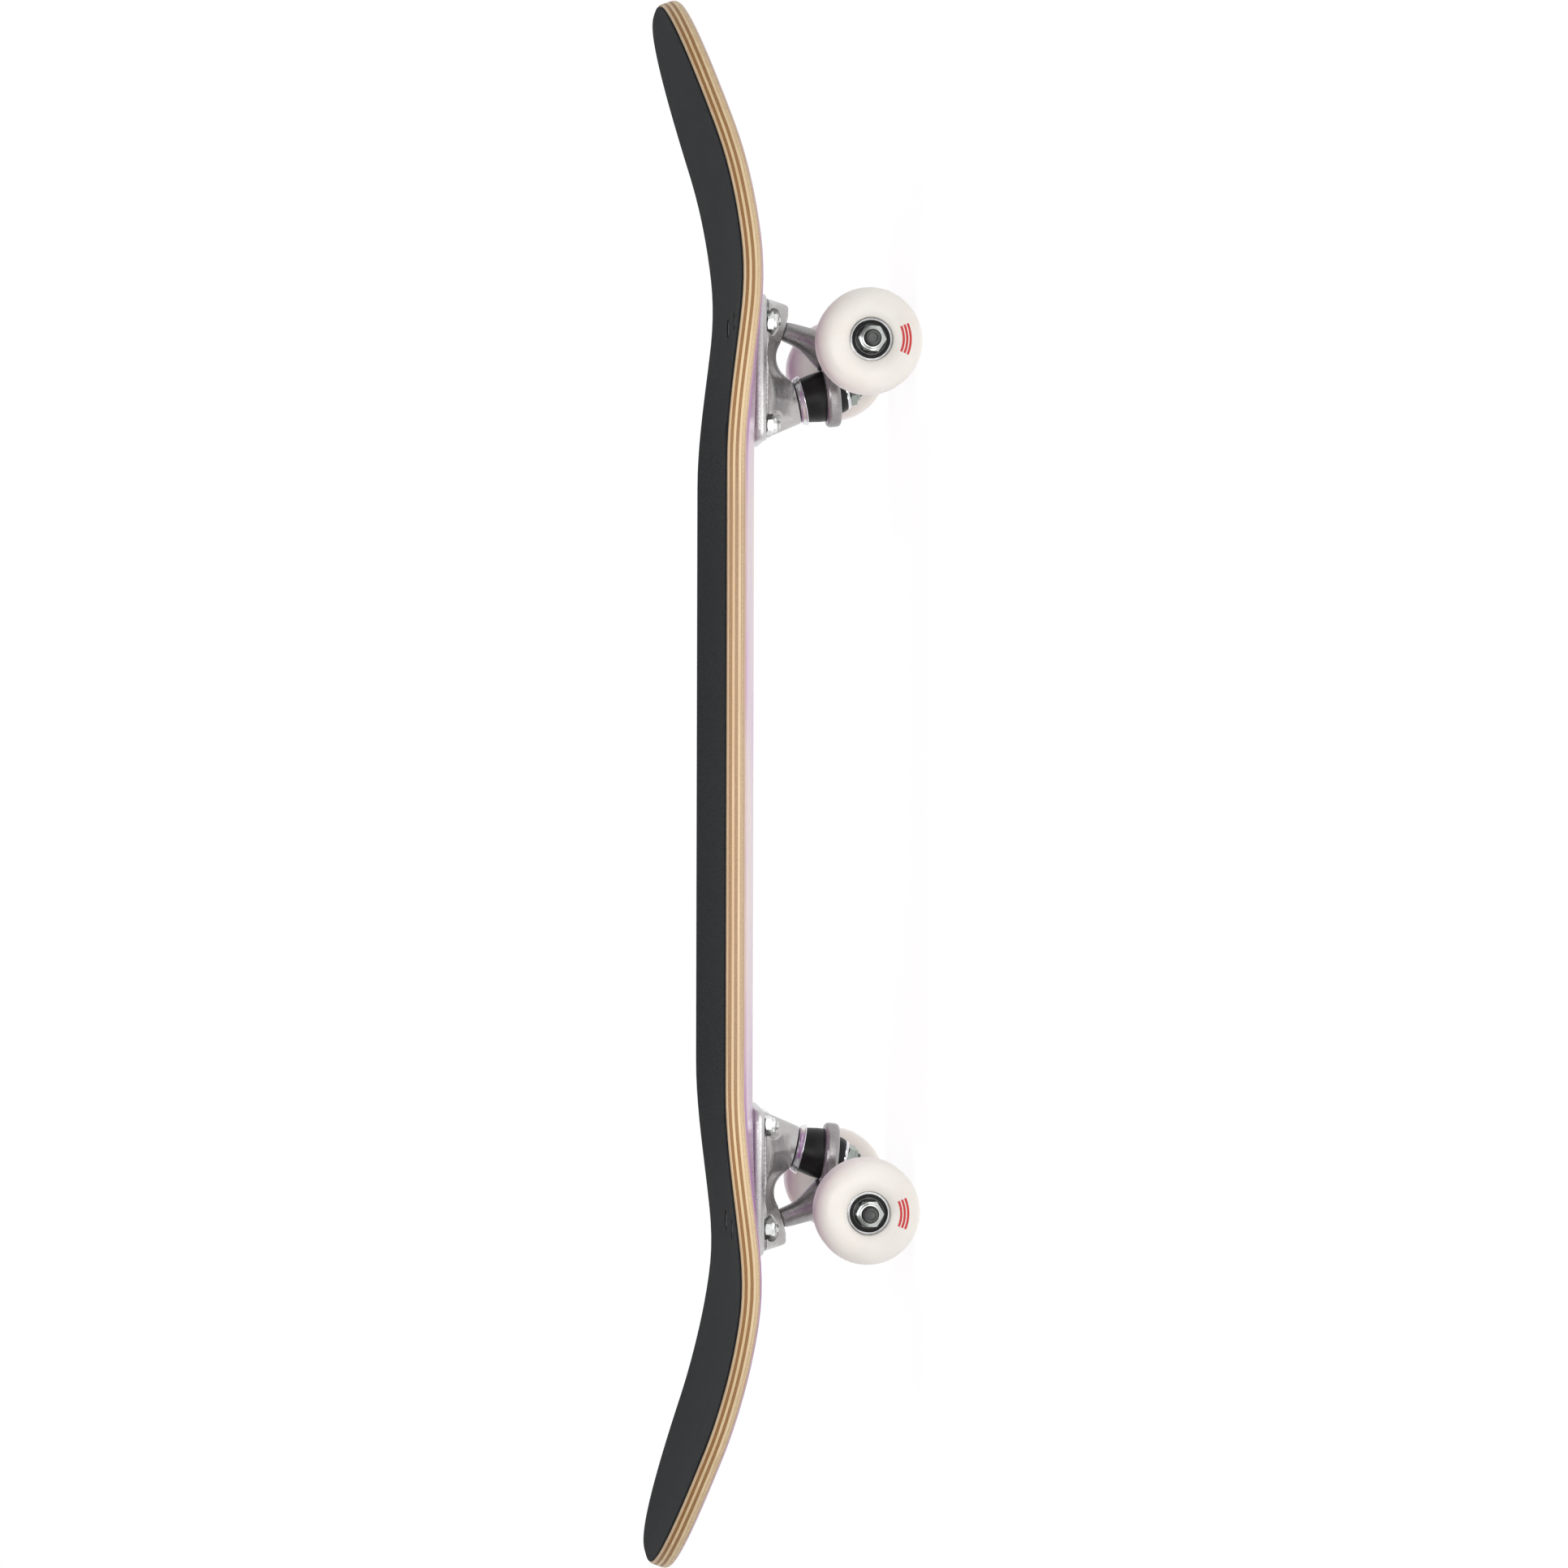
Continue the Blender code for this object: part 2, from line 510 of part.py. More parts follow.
def add_hanger(end, truck, steer, finish):
    """Hanger casting: axle beam, shoulders, arm with the pivot ball, and the bushing ring."""
    beam = [(0, -HANGER_HALF_WIDTH), (BEAM_RADIUS, -HANGER_HALF_WIDTH), (BEAM_RADIUS, HANGER_HALF_WIDTH),
            (0, HANGER_HALF_WIDTH)]
    crosswise = Matrix.Translation(AXLE_CENTRE) @ SIDEWAYS
    hanger = add_object(f"{end}_hanger", moved(turned(beam, FINE_SEGMENTS), crosswise), truck, finish=finish)
    ring_edge = 1.2 * MM
    ring = turned([(0, -RING_HALF_HEIGHT), (RING_RADIUS - ring_edge, -RING_HALF_HEIGHT),
                   (RING_RADIUS, ring_edge - RING_HALF_HEIGHT), (RING_RADIUS, RING_HALF_HEIGHT - ring_edge),
                   (RING_RADIUS - ring_edge, RING_HALF_HEIGHT), (0, RING_HALF_HEIGHT)], FINE_SEGMENTS)
    ball_profile = [(0, -PIVOT_BALL_RADIUS)]
    for degrees in (-45, 0, 45):
        turn = math.radians(degrees)
        ball_profile.append((PIVOT_BALL_RADIUS * math.cos(turn), PIVOT_BALL_RADIUS * math.sin(turn)))
    ball_profile.append((0, PIVOT_BALL_RADIUS))
    ball = turned(ball_profile, SMALL_SEGMENTS)
    forms = (("arm", arm_mesh(), Matrix()), ("gusset", gusset_mesh(), Matrix()), ("ring", ring, RING_FRAME),
             ("ball", ball, PIVOT_FRAME))
    for label, mesh, place in forms:
        combine(hanger, add_helper(f"{end}_{label}_form", mesh, truck, place), "UNION")
    centre = RING_CENTRE_ALONG
    recess = 2 * GAP
    cuts = (("web_hole", cylinder(WEB_BORE, centre - 9 * MM, centre + 9 * MM), KINGPIN_FRAME),
            ("lower_seat", cylinder(LOWER_BUSHING_RADIUS + recess, centre - 16 * MM,
                                    centre - WEB_HALF_HEIGHT), KINGPIN_FRAME),
            ("upper_seat", cylinder(UPPER_BUSHING_RADIUS + recess, centre + WEB_HALF_HEIGHT,
                                    centre + 5 * MM), KINGPIN_FRAME),
            ("nut_room", cylinder(NUT_CLEARANCE_RADIUS, centre + 4.4 * MM, centre + 26 * MM), KINGPIN_FRAME),
            ("axle_bore", cylinder(AXLE_RADIUS + GAP, -80 * MM, 80 * MM, SMALL_SEGMENTS), crosswise))
    for label, mesh, place in cuts:
        combine(hanger, add_helper(f"{end}_{label}_cutter", mesh, truck, place), "DIFFERENCE")
    hanger.data.transform(Matrix.Translation(-RING_CENTRE))
    hanger.parent = steer


def main():
    for obj in list(bpy.data.objects):
        bpy.data.objects.remove(obj, do_unlink=True)
    finishes = {
        "maple": material("maple", (0.62, 0.44, 0.26), 0.35),
        "grip": material("grip", (0.035, 0.038, 0.042), 0.95),
        "cast": material("cast_aluminium", (0.55, 0.54, 0.53), 0.38, 1.0),
        "hanger": material("hanger_aluminium", (0.36, 0.34, 0.35), 0.42, 1.0),
        "zinc": material("zinc_steel", (0.58, 0.60, 0.57), 0.30, 1.0),
        "chrome": material("chrome", (0.78, 0.78, 0.80), 0.12, 1.0),
        "bushing": material("bushing_urethane", (0.012, 0.012, 0.013), 0.45),
        "wheel": material("wheel_urethane", (0.84, 0.80, 0.76), 0.38),
        "steel": material("bearing_steel", (0.50, 0.50, 0.51), 0.25, 1.0),
    }
    board = add_empty("skateboard", location=((TAIL_REACH - NOSE_REACH) / 2, 0, RIDE_HEIGHT))
    deck = add_object("deck", deck_mesh(), board, finish=finishes["maple"])
    grip = add_object("grip_tape", grip_mesh(), board, finish=finishes["grip"])
    for end, side in (("front", 1), ("rear", -1)):
        truck = add_empty(f"{end}_truck", board, (side * AXLE_SPACING / 2, 0, 0), 0 if side > 0 else math.pi)
        add_truck(end, side, truck, finishes, deck, grip)


def add_truck(end, side, truck, finishes, deck, grip):
    """One truck with its mounting bolts, wheels and bearings."""
    centres = [(BOLT_CENTRE + dx * BOLT_PITCH_X / 2, dy * BOLT_PITCH_Y / 2)
               for dx in (-1, 1) for dy in (-1, 1)]
    hole_group = bmesh.new()
    for x, y in centres:
        hole = moved(bolt_hole_mesh(), Matrix.Translation((x, y, BOLT_HEAD_TOP)))
        data = bpy.data.meshes.new("bolt_hole")
        hole.to_mesh(data)
        hole.free()
        hole_group.from_mesh(data)
        bpy.data.meshes.remove(data)
    holes = add_helper(f"{end}_bolt_holes", hole_group, truck)
    combine(deck, holes, "DIFFERENCE")
    combine(grip, holes, "DIFFERENCE")
    add_baseplate(end, truck, finishes["cast"], holes)
    for number, (x, y) in enumerate(centres, 1):
        add_object(f"{end}_bolt_{number}", bolt_mesh(), truck,
                   Matrix.Translation((x, y, BOLT_HEAD_TOP)), finishes["zinc"])
        under = Matrix.Translation((x, y, -FLANGE_THICKNESS - GAP)) @ Matrix.Rotation(math.pi, 4, "X")
        nut = nut_mesh(LOCK_NUT_FLATS, LOCK_NUT_HEIGHT, BOLT_RADIUS + GAP, 1.8 * MM)
        add_object(f"{end}_lock_nut_{number}", nut, truck, under, finishes["zinc"])
    add_kingpin_stack(end, truck, finishes)
    steer = add_empty(f"{end}_steer", truck, RING_CENTRE)
    add_hanger(end, truck, steer, finishes["hanger"])
    axle = turned([(0, -AXLE_HALF_LENGTH), (AXLE_RADIUS - 0.7 * MM, -AXLE_HALF_LENGTH),
                   (AXLE_RADIUS, -AXLE_HALF_LENGTH + 0.8 * MM), (AXLE_RADIUS, AXLE_HALF_LENGTH - 0.8 * MM),
                   (AXLE_RADIUS - 0.7 * MM, AXLE_HALF_LENGTH), (0, AXLE_HALF_LENGTH)], SMALL_SEGMENTS)
    hub = Matrix.Translation(AXLE_CENTRE - RING_CENTRE)
    add_object(f"{end}_axle", axle, steer, hub @ SIDEWAYS, finishes["zinc"])
    for hand in (1, -1):
        label = "left" if hand * side > 0 else "right"
        add_wheel(f"{end}_{label}", steer, hub, hand, finishes)


def wheel_mesh():
    """Urethane wheel about its own centre, with a facet of the tread facing local +X."""
    tread = WHEEL_RADIUS / math.cos(math.pi / WHEEL_SEGMENTS)
    seat = BEARING_RADIUS + GAP
    shoulder = BEARING_SPACER / 2 - GAP
    half = [(tread, TREAD_HALF_WIDTH), (tread - 0.8 * MM, 9.2 * MM), (tread - 2.9 * MM, 12.8 * MM),
            (20.0 * MM, 15.2 * MM), (16.0 * MM, 15.5 * MM), (seat, 13.6 * MM), (seat, shoulder),
            (9.4 * MM, shoulder)]
    profile = half + [(radius, -height) for radius, height in reversed(half)]
    return turned(profile, WHEEL_SEGMENTS, math.pi / WHEEL_SEGMENTS)


def bearing_mesh():
    """Outer ring and outboard shield; local Z points out of the wheel from the spacer's face."""
    inner = BEARING_RADIUS - 1.4 * MM
    shield = RACE_RADIUS + 0.6 * MM
    return turned([(BEARING_RADIUS, 0), (BEARING_RADIUS, BEARING_WIDTH), (inner, BEARING_WIDTH),
                   (inner, BEARING_WIDTH - 0.5 * MM), (shield, BEARING_WIDTH - 0.5 * MM),
                   (shield, BEARING_WIDTH - 1.3 * MM), (inner, BEARING_WIDTH - 1.3 * MM), (inner, 0)],
                  FINE_SEGMENTS)


def sleeve_mesh():
    """Inner races, spacer and speed washers clamped on the axle, about the wheel's centre."""
    bore = AXLE_RADIUS + GAP
    face = BEARING_SPACER / 2
    end = face + BEARING_WIDTH
    washer = RACE_RADIUS + 0.3 * MM
    spacer = RACE_RADIUS - 0.7 * MM
    half = [(bore, end + SPEED_WASHER), (washer, end + SPEED_WASHER), (washer, end), (RACE_RADIUS, end),
            (RACE_RADIUS, face), (spacer, face)]
    return turned(half + [(radius, -height) for radius, height in reversed(half)], SMALL_SEGMENTS)


def add_wheel(label, steer, hub, hand, finishes):
    """Wheel, bearings, sleeve and nut on one end of the axle; hand is +1 on local +Y."""
    outward = Matrix(((0, -hand, 0, 0), (0, 0, hand, 0), (-1, 0, 0, 0), (0, 0, 0, 1)))
    centre = hub @ Matrix.Translation((0, hand * WHEEL_CENTRE, 0)) @ outward
    add_object(f"{label}_wheel", wheel_mesh(), steer, centre, finishes["wheel"])
    inward = Matrix.Rotation(math.pi, 4, "X")
    shift = Matrix.Translation((0, 0, BEARING_SPACER / 2))
    add_object(f"{label}_outer_bearing", bearing_mesh(), steer, centre @ shift, finishes["steel"])
    add_object(f"{label}_inner_bearing", bearing_mesh(), steer, centre @ inward @ shift, finishes["steel"])
    add_object(f"{label}_bearing_sleeve", sleeve_mesh(), steer, centre, finishes["steel"])
    nut_face = BEARING_SPACER / 2 + BEARING_WIDTH + SPEED_WASHER + GAP
    nut = nut_mesh(AXLE_NUT_FLATS, AXLE_NUT_HEIGHT, AXLE_RADIUS + GAP, 1.6 * MM)
    add_object(f"{label}_axle_nut", nut, steer, centre @ Matrix.Translation((0, 0, nut_face)),
               finishes["zinc"])


main()
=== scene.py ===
"""Looks of the skateboard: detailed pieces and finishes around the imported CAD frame.

Shapes are modelled in millimetres and become metres when a piece is added. Board shapes use the board
frame (x = 0 midway between the axles, z = 0 at the deck's underside between the trucks, +x towards the
nose). Truck shapes use the truck frame (+x outboard from the axle, z = 0 at the deck's underside).
Finishes measure in metres.
"""

from math import asin, ceil, copysign, cos, pi, radians, sin, tan

import bmesh
import bpy
from mathutils import Matrix, Vector
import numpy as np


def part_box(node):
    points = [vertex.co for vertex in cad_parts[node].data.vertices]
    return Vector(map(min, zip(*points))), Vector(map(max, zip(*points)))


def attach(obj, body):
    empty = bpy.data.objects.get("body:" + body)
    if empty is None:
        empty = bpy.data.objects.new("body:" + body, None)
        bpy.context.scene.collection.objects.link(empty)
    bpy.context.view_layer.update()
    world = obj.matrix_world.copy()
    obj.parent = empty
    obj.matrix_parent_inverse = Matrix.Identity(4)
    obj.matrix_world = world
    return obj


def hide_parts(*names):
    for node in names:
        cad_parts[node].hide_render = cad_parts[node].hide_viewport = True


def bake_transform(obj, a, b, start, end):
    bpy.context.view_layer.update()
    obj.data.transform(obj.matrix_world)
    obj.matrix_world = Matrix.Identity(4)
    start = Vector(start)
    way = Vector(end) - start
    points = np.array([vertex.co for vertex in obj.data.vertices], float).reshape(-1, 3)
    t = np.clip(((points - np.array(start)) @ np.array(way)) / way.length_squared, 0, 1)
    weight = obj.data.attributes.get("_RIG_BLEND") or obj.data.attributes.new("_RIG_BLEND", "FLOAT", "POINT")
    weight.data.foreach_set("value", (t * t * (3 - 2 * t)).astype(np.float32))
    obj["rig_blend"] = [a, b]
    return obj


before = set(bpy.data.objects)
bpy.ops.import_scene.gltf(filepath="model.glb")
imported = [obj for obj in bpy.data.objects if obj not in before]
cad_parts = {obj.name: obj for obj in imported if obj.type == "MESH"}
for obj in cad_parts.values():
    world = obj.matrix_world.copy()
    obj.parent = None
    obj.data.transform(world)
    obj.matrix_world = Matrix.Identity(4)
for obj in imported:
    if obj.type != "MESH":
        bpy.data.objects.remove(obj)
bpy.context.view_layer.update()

MM = 0.001
TO_METRES = Matrix.Scale(MM, 4)
VOXEL = 0.5  # grain of the cast shapes

# Deck
PLY_COUNT = 7
PLY = 1.47
DECK_THICKNESS = PLY_COUNT * PLY
DECK_HALF_WIDTH = 103.2
NOSE_REACH = 416.8
TAIL_REACH = 406.1
OUTLINE_START = 200.0
OUTLINE_POWER = 2.9
NOSE_KICK = (240.0, radians(20.4))  # where it starts, and its slope
TAIL_KICK = (232.8, radians(19.2))
KICK_RADIUS = 309.0
CONCAVE_MID = 11.1
CONCAVE_AT_KICK = 1.3
CONCAVE_NOSE = 2.2
CONCAVE_TAIL = 0.5
CONCAVE_POWER = 1.6
CONCAVE_FADE = (158.0, 275.0)
KICK_CONCAVE_FADE = (262.0, 330.0)
BOTTOM_ROUND = 3.5
TOP_ROUND = 0.9
GLUE_LINE = 0.05
GRIP_INSET = 0.7
GRIP_THICKNESS = 0.95
END_STATIONS = 48
MID_STATIONS = 8
SPANS_ACROSS = 28
TIP_FRACTION = 0.996

# Trucks
BOLT_PITCH = (53.98, 41.28)
BOLT_CENTRE = -11.0
BOLT_RADIUS = 2.4
BOLT_HEAD_RADIUS = 4.7
BOLT_HEAD_TOP = 11.18
BOLT_END = -12.9
FLANGE_THICKNESS = 5.2
FLANGE_X = (-46.8, 30.5)
FLANGE_HALF_WIDTH = 28.0
FLANGE_CORNER = 7.0
FLANGE_EDGE = ((2.0, -5.2), (1.3, -5.1), (0.7, -4.7), (0.25, -4.1), (0.0, -3.3), (0.0, -0.3), (0.2, 0.1))
FLANGE_FIT = 216.5  # where along the board its top is fitted
GROOVE_SECTION = ((-6.0, -5.1), (3.8, -5.1), (3.8, -6.5), (-6.0, -6.5))
RIB_START, RIB_PITCH, RIB_COUNT = -27.5, 2.6, 10
RIB_LINE = 25.7
NUT_POCKET_RADIUS = 6.9
KINGPIN_TILT = radians(13.0)
KINGPIN_SEAT = Vector((-24.6, 0.0, -22.8))
KINGPIN_RADIUS = 4.76
SEAT_RADIUS = 11.2
SEAT_DRAFT = radians(11.0)
PIVOT = Vector((14.3, 0.0, -12.0))
PIVOT_TILT = radians(17.0)
PIVOT_MOUTH = 4.2
PIVOT_POCKET = 7.4
PIVOT_POCKET_DEPTH = 6.6
RING_ALONG = 19.2
RING_TILT = radians(6.0)
RING_RADIUS = 17.0
WEB_HALF_HEIGHT = 1.5
LOWER_BUSHING_RADIUS = 13.0
UPPER_BUSHING_RADIUS = 10.8
RING_END_BORE = 5.9  # of both bushings, clear of the kingpin as the ring turns
BUSHING_BENDS = {  # heights on the kingpin: with the deck, with the hanger
    "lower_bushing": (2.2, 14.8),
    "upper_bushing": (26.6, 23.4),
}
HANGER_HALF_WIDTH = 69.85
AXLE_DROP = 52.5
AXLE_RADIUS = 3.97
AXLE_END = 105.4
AXLE_THREAD_START = 93.5
FINE_THREAD = 1.06
BOLT_THREAD = 0.79
BOLT_THREAD_START = -2.5

# Wheels
WHEEL_RADIUS = 27.0
BEARING_RADIUS = 11.0
BEARING_WIDTH = 7.0
SPACER = 10.0
WHEEL_CENTRE = HANGER_HALF_WIDTH + 0.3 + 1.0 + BEARING_WIDTH + SPACER / 2

# Lock nuts: across the flats, height, bore radius, collar height
BOLT_NUT = (9.5, 5.6, BOLT_RADIUS - 0.15, 1.8)
KINGPIN_NUT = (14.29, 5.6, KINGPIN_RADIUS - 0.2, 1.5)
AXLE_NUT = (12.7, 6.1, AXLE_RADIUS - 0.2, 1.6)

# How far each fastener is turned, in degrees
BOLT_TURNS = {"front": (0, 62), "rear": (40, 90)}  # bolts, their nuts
KINGPIN_NUT_TURNS = {"front": 12, "rear": 25}
AXLE_NUT_TURNS = {"front_left": 30, "rear_left": 26, "front_right": 22, "rear_right": 51}

# Finishes
CAST_METALLIC = 0.82  # the rest is the oxide's own dull grey
END_GRAIN = (0.135, 0.19)  # from the middle: where the kicks begin to cut across the grain
TRUCK_SHADE_CENTRE = 0.205  # from the middle: where the painted shade of the trucks makes the underside most purple
PRINT_RADII = (0.0162, 0.0180, 0.0198)  # the red arcs on a wheel
VENEERS = (  # from the underside up: along the rails, and at the kicks
    ((176, 156, 134), (178, 156, 130), (214, 190, 158), (164, 137, 110), (210, 183, 150), (157, 127, 95),
     (192, 166, 136)),
    ((190, 170, 150), (206, 184, 150), (224, 202, 166), (158, 120, 80), (222, 198, 160), (150, 110, 68),
     (212, 188, 156)),
)

# Studio
FLOOR_GLOW = 0.88
WORLD_FADE = (-0.4, 0.4, 1.0, 0.18)  # direction towards the front, and strength, from and to
LIGHTS = (  # name, place, aim, size, power
    ("key", (0.0, 1.7, 1.0), (0, 0, 0.06), (0.9, 0.7), 11),
    ("front", (0.0, 2.7, 0.45), (0, 0, 0.06), (0.9, 0.5), 6),
    ("low", (0.0, 0.45, 0.004), (0, 0.45, 1), (0.44, 0.56), 1.2),
)

# Camera, in the board frame
CAMERA_LENS = 95.284
CAMERA_DISTANCE = 2.1985
CAMERA_AZIMUTH = -0.0088
CAMERA_ELEVATION = 0.0894
CAMERA_ROLL = 0.0026
CAMERA_TARGET = Vector((4.68, 0.0, -17.2)) * MM


def box_middle(node):
    low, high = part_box(node)
    return (low + high) / 2


FRONT_AXLE, REAR_AXLE = box_middle("front_axle"), box_middle("rear_axle")
BOARD_ORIGIN = Vector(((FRONT_AXLE.x + REAR_AXLE.x) / 2, 0, FRONT_AXLE.z + AXLE_DROP * MM))
BOARD = Matrix.Translation(BOARD_ORIGIN)
TRUCK = {
    "front": Matrix.Translation((FRONT_AXLE.x, 0, BOARD_ORIGIN.z)),
    "rear": Matrix.Translation((REAR_AXLE.x, 0, BOARD_ORIGIN.z)) @ Matrix.Rotation(pi, 4, "Z"),
}
FLIP = Matrix.Rotation(pi, 4, "X")


def about_z(degrees):
    return Matrix.Rotation(radians(degrees), 4, "Z")


# Shapes, in millimetres

def turns(count):
    """Angles once round, in equal steps."""
    return [2 * pi * step / count for step in range(count)]


def stacked(loops, hoop=False):
    """Closed body through loops of points, capped at both ends or joined end to end."""
    mesh = bmesh.new()
    rings = [[mesh.verts.new(point) for point in loop] for loop in loops]
    for near, far in zip(rings, rings[1:] + rings[:1] if hoop else rings[1:]):
        for step in range(len(near)):
            after = (step + 1) % len(near)
            mesh.faces.new([near[step], near[after], far[after], far[step]])
    if not hoop:
        mesh.faces.new(rings[0])
        mesh.faces.new(rings[-1])
    bmesh.ops.recalc_face_normals(mesh, faces=mesh.faces)
    return mesh


def turned(profile, segments=96, finishes=None):
    """Closed body turned about local Z, from a list of (radius, height) or a function of the angle.

    Finishes gives each profile edge its material slot.
    """
    mesh = bmesh.new()
    poles, rings = {}, []
    for angle in turns(segments):
        ring = []
        for index, (radius, height) in enumerate(profile(angle) if callable(profile) else profile):
            if radius == 0:
                if index not in poles:
                    poles[index] = mesh.verts.new((0, 0, height))
                ring.append(poles[index])
            else:
                ring.append(mesh.verts.new((radius * cos(angle), radius * sin(angle), height)))
        rings.append(ring)
    for step in range(segments):
        here, there = rings[step], rings[(step + 1) % segments]
        for index in range(len(here)):
            after = (index + 1) % len(here)
            corners = list(dict.fromkeys([here[index], here[after], there[after], there[index]]))
            if len(corners) > 2:
                face = mesh.faces.new(corners)
                face.material_index = finishes[index] if finishes else 0
    bmesh.ops.recalc_face_normals(mesh, faces=mesh.faces)
    return mesh


def threaded(radius, pitch, start, end):
    """Rod with a helical thread and a chamfered end."""
    segments, rows_per_turn = 40, 8
    depth = 0.5 * pitch
    rows = ceil((end - start) / pitch * rows_per_turn)
    loops = []
    for row in range(rows + 1):
        z = start + (end - start) * row / rows
        chamfer = max(0.0, 1.2 * pitch - (end - z)) * 0.7
        loop = []
        for step in range(segments):
            share = step / segments
            groove = abs(2 * ((z / pitch - share) % 1) - 1)
            reach = radius - max(depth * groove, chamfer)
            loop.append((reach * cos(2 * pi * share), reach * sin(2 * pi * share), z))
        loops.append(loop)
    return stacked(loops)


def oval_tube(sections):
    """Tube through ovals of (centre, direction, half thickness, half width along Y)."""
    loops = []
    for centre, direction, thickness, width in sections:
        direction = Vector(direction)
        across = Vector((-direction.z, 0, direction.x)).normalized()
        loops.append([Vector(centre) + (across * thickness * cos(angle) + Vector((0, width * sin(angle), 0)))
                      for angle in turns(40)])
    return stacked(loops)


def box_shape(low, high):
    x0, y0, z0 = low
    x1, y1, z1 = high
    plan = ((x0, y0), (x1, y0), (x1, y1), (x0, y1))
    return stacked([[(x, y, z) for x, y in plan] for z in (z0, z1)])


def cylinder(radius, start, end, segments=64):
    return turned([(0, start), (radius, start), (radius, end), (0, end)], segments)


def moved(mesh, matrix):
    mesh.transform(matrix)
    return mesh


def finished(mesh, number):
    """The mesh with all its faces in the finish of that number."""
    for face in mesh.faces:
        face.material_index = number
    return mesh


def stored(mesh, name="scratch"):
    """Mesh data from a bmesh, which is freed."""
    data = bpy.data.meshes.new(name)
    mesh.to_mesh(data)
    mesh.free()
    return data


def copied(data):
    mesh = bmesh.new()
    mesh.from_mesh(data)
    return mesh


def linked(name, data):
    """A new object in the scene."""
    obj = bpy.data.objects.new(name, data)
    bpy.context.collection.objects.link(obj)
    return obj


def joined(meshes):
    """One bmesh that holds several, which are freed."""
    whole = bmesh.new()
    for mesh in meshes:
        data = stored(mesh)
        whole.from_mesh(data)
        bpy.data.meshes.remove(data)
    return whole


def frame_along(origin, direction):
    """Matrix whose local Z lies along a direction in the XZ plane, with local Y kept as Y."""
    along = Vector(direction).normalized()
    side = Vector((0, 1, 0))
    turn = Matrix((side.cross(along), side, along)).transposed().to_4x4()
    return Matrix.Translation(origin) @ turn


def arc_points(centre, radius, start, end, count):
    angles = [radians(start + (end - start) * step / count) for step in range(count + 1)]
    return [(centre[0] + radius * cos(a), centre[1] + radius * sin(a)) for a in angles]


def curved(start, *curves):
    """Points along cubic curves set end to end; each curve is its other three points and a count."""
    points = [start]
    for *others, count in curves:
        corners = (points[-1], *others)
        for step in range(1, count + 1):
            t = step / count
            weights = ((1 - t) ** 3, 3 * t * (1 - t) ** 2, 3 * t * t * (1 - t), t ** 3)
            points.append(tuple(sum(w * p[axis] for w, p in zip(weights, corners)) for axis in (0, 1)))
    return points


def mirrored(half):
    """Closed profile from its half with positive heights."""
    return half + [(radius, -height) for radius, height in reversed(half)]


def baked_mesh(obj, helpers=()):
    """The object's mesh with its modifiers applied, as a bmesh; the objects are removed."""
    data = bpy.data.meshes.new_from_object(obj.evaluated_get(bpy.context.evaluated_depsgraph_get()))
    result = copied(data)
    bpy.data.meshes.remove(data)
    for used in (obj, *helpers):
        mesh = used.data
        bpy.data.objects.remove(used)
        bpy.data.meshes.remove(mesh)
    return result


def cast_shape(meshes, passes):
    """Overlapping shapes melted into one casting with soft fillets."""
    obj = linked("scratch", stored(joined(meshes)))
    remesh = obj.modifiers.new("remesh", "REMESH")
    remesh.mode = "VOXEL"
    remesh.voxel_size = VOXEL
    smooth = obj.modifiers.new("smooth", "SMOOTH")
    smooth.factor = 0.5
    smooth.iterations = passes
    return baked_mesh(obj)


def cut(mesh, cutters, solver="MANIFOLD"):
    """The mesh with the cutters taken out of it."""
    obj = linked("scratch", stored(mesh))
    helpers = []
    for cutter in cutters:
        helper = linked("cutter", stored(cutter))
        boolean = obj.modifiers.new("cut", "BOOLEAN")
        boolean.operation = "DIFFERENCE"
        boolean.solver = solver
        boolean.object = helper
        helpers.append(helper)
    return baked_mesh(obj, helpers)


def add_piece(name, mesh, place, body, node, slot, *finishes, smooth_angle=32):
    """A finished piece that rides on a body, or bends between two, and stands for a CAD node."""
    mesh.transform(TO_METRES)
    data = stored(mesh, name)
    for finish in finishes:
        data.materials.append(FINISHES[finish])
    data.shade_smooth()
    data.set_sharp_from_angle(angle=radians(smooth_angle))
    obj = linked(name, data)
    obj.matrix_world = place
    if isinstance(body, str):
        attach(obj, body)
    else:
        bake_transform(obj, *body)
    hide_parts(node)


# Finishes

def srgb(red, green, blue):
    """Linear colour from 0-255 display values."""
    shares = (value / 255 for value in (red, green, blue))
    return tuple(s / 12.92 if s <= 0.04045 else ((s + 0.055) / 1.055) ** 2.4 for s in shares)


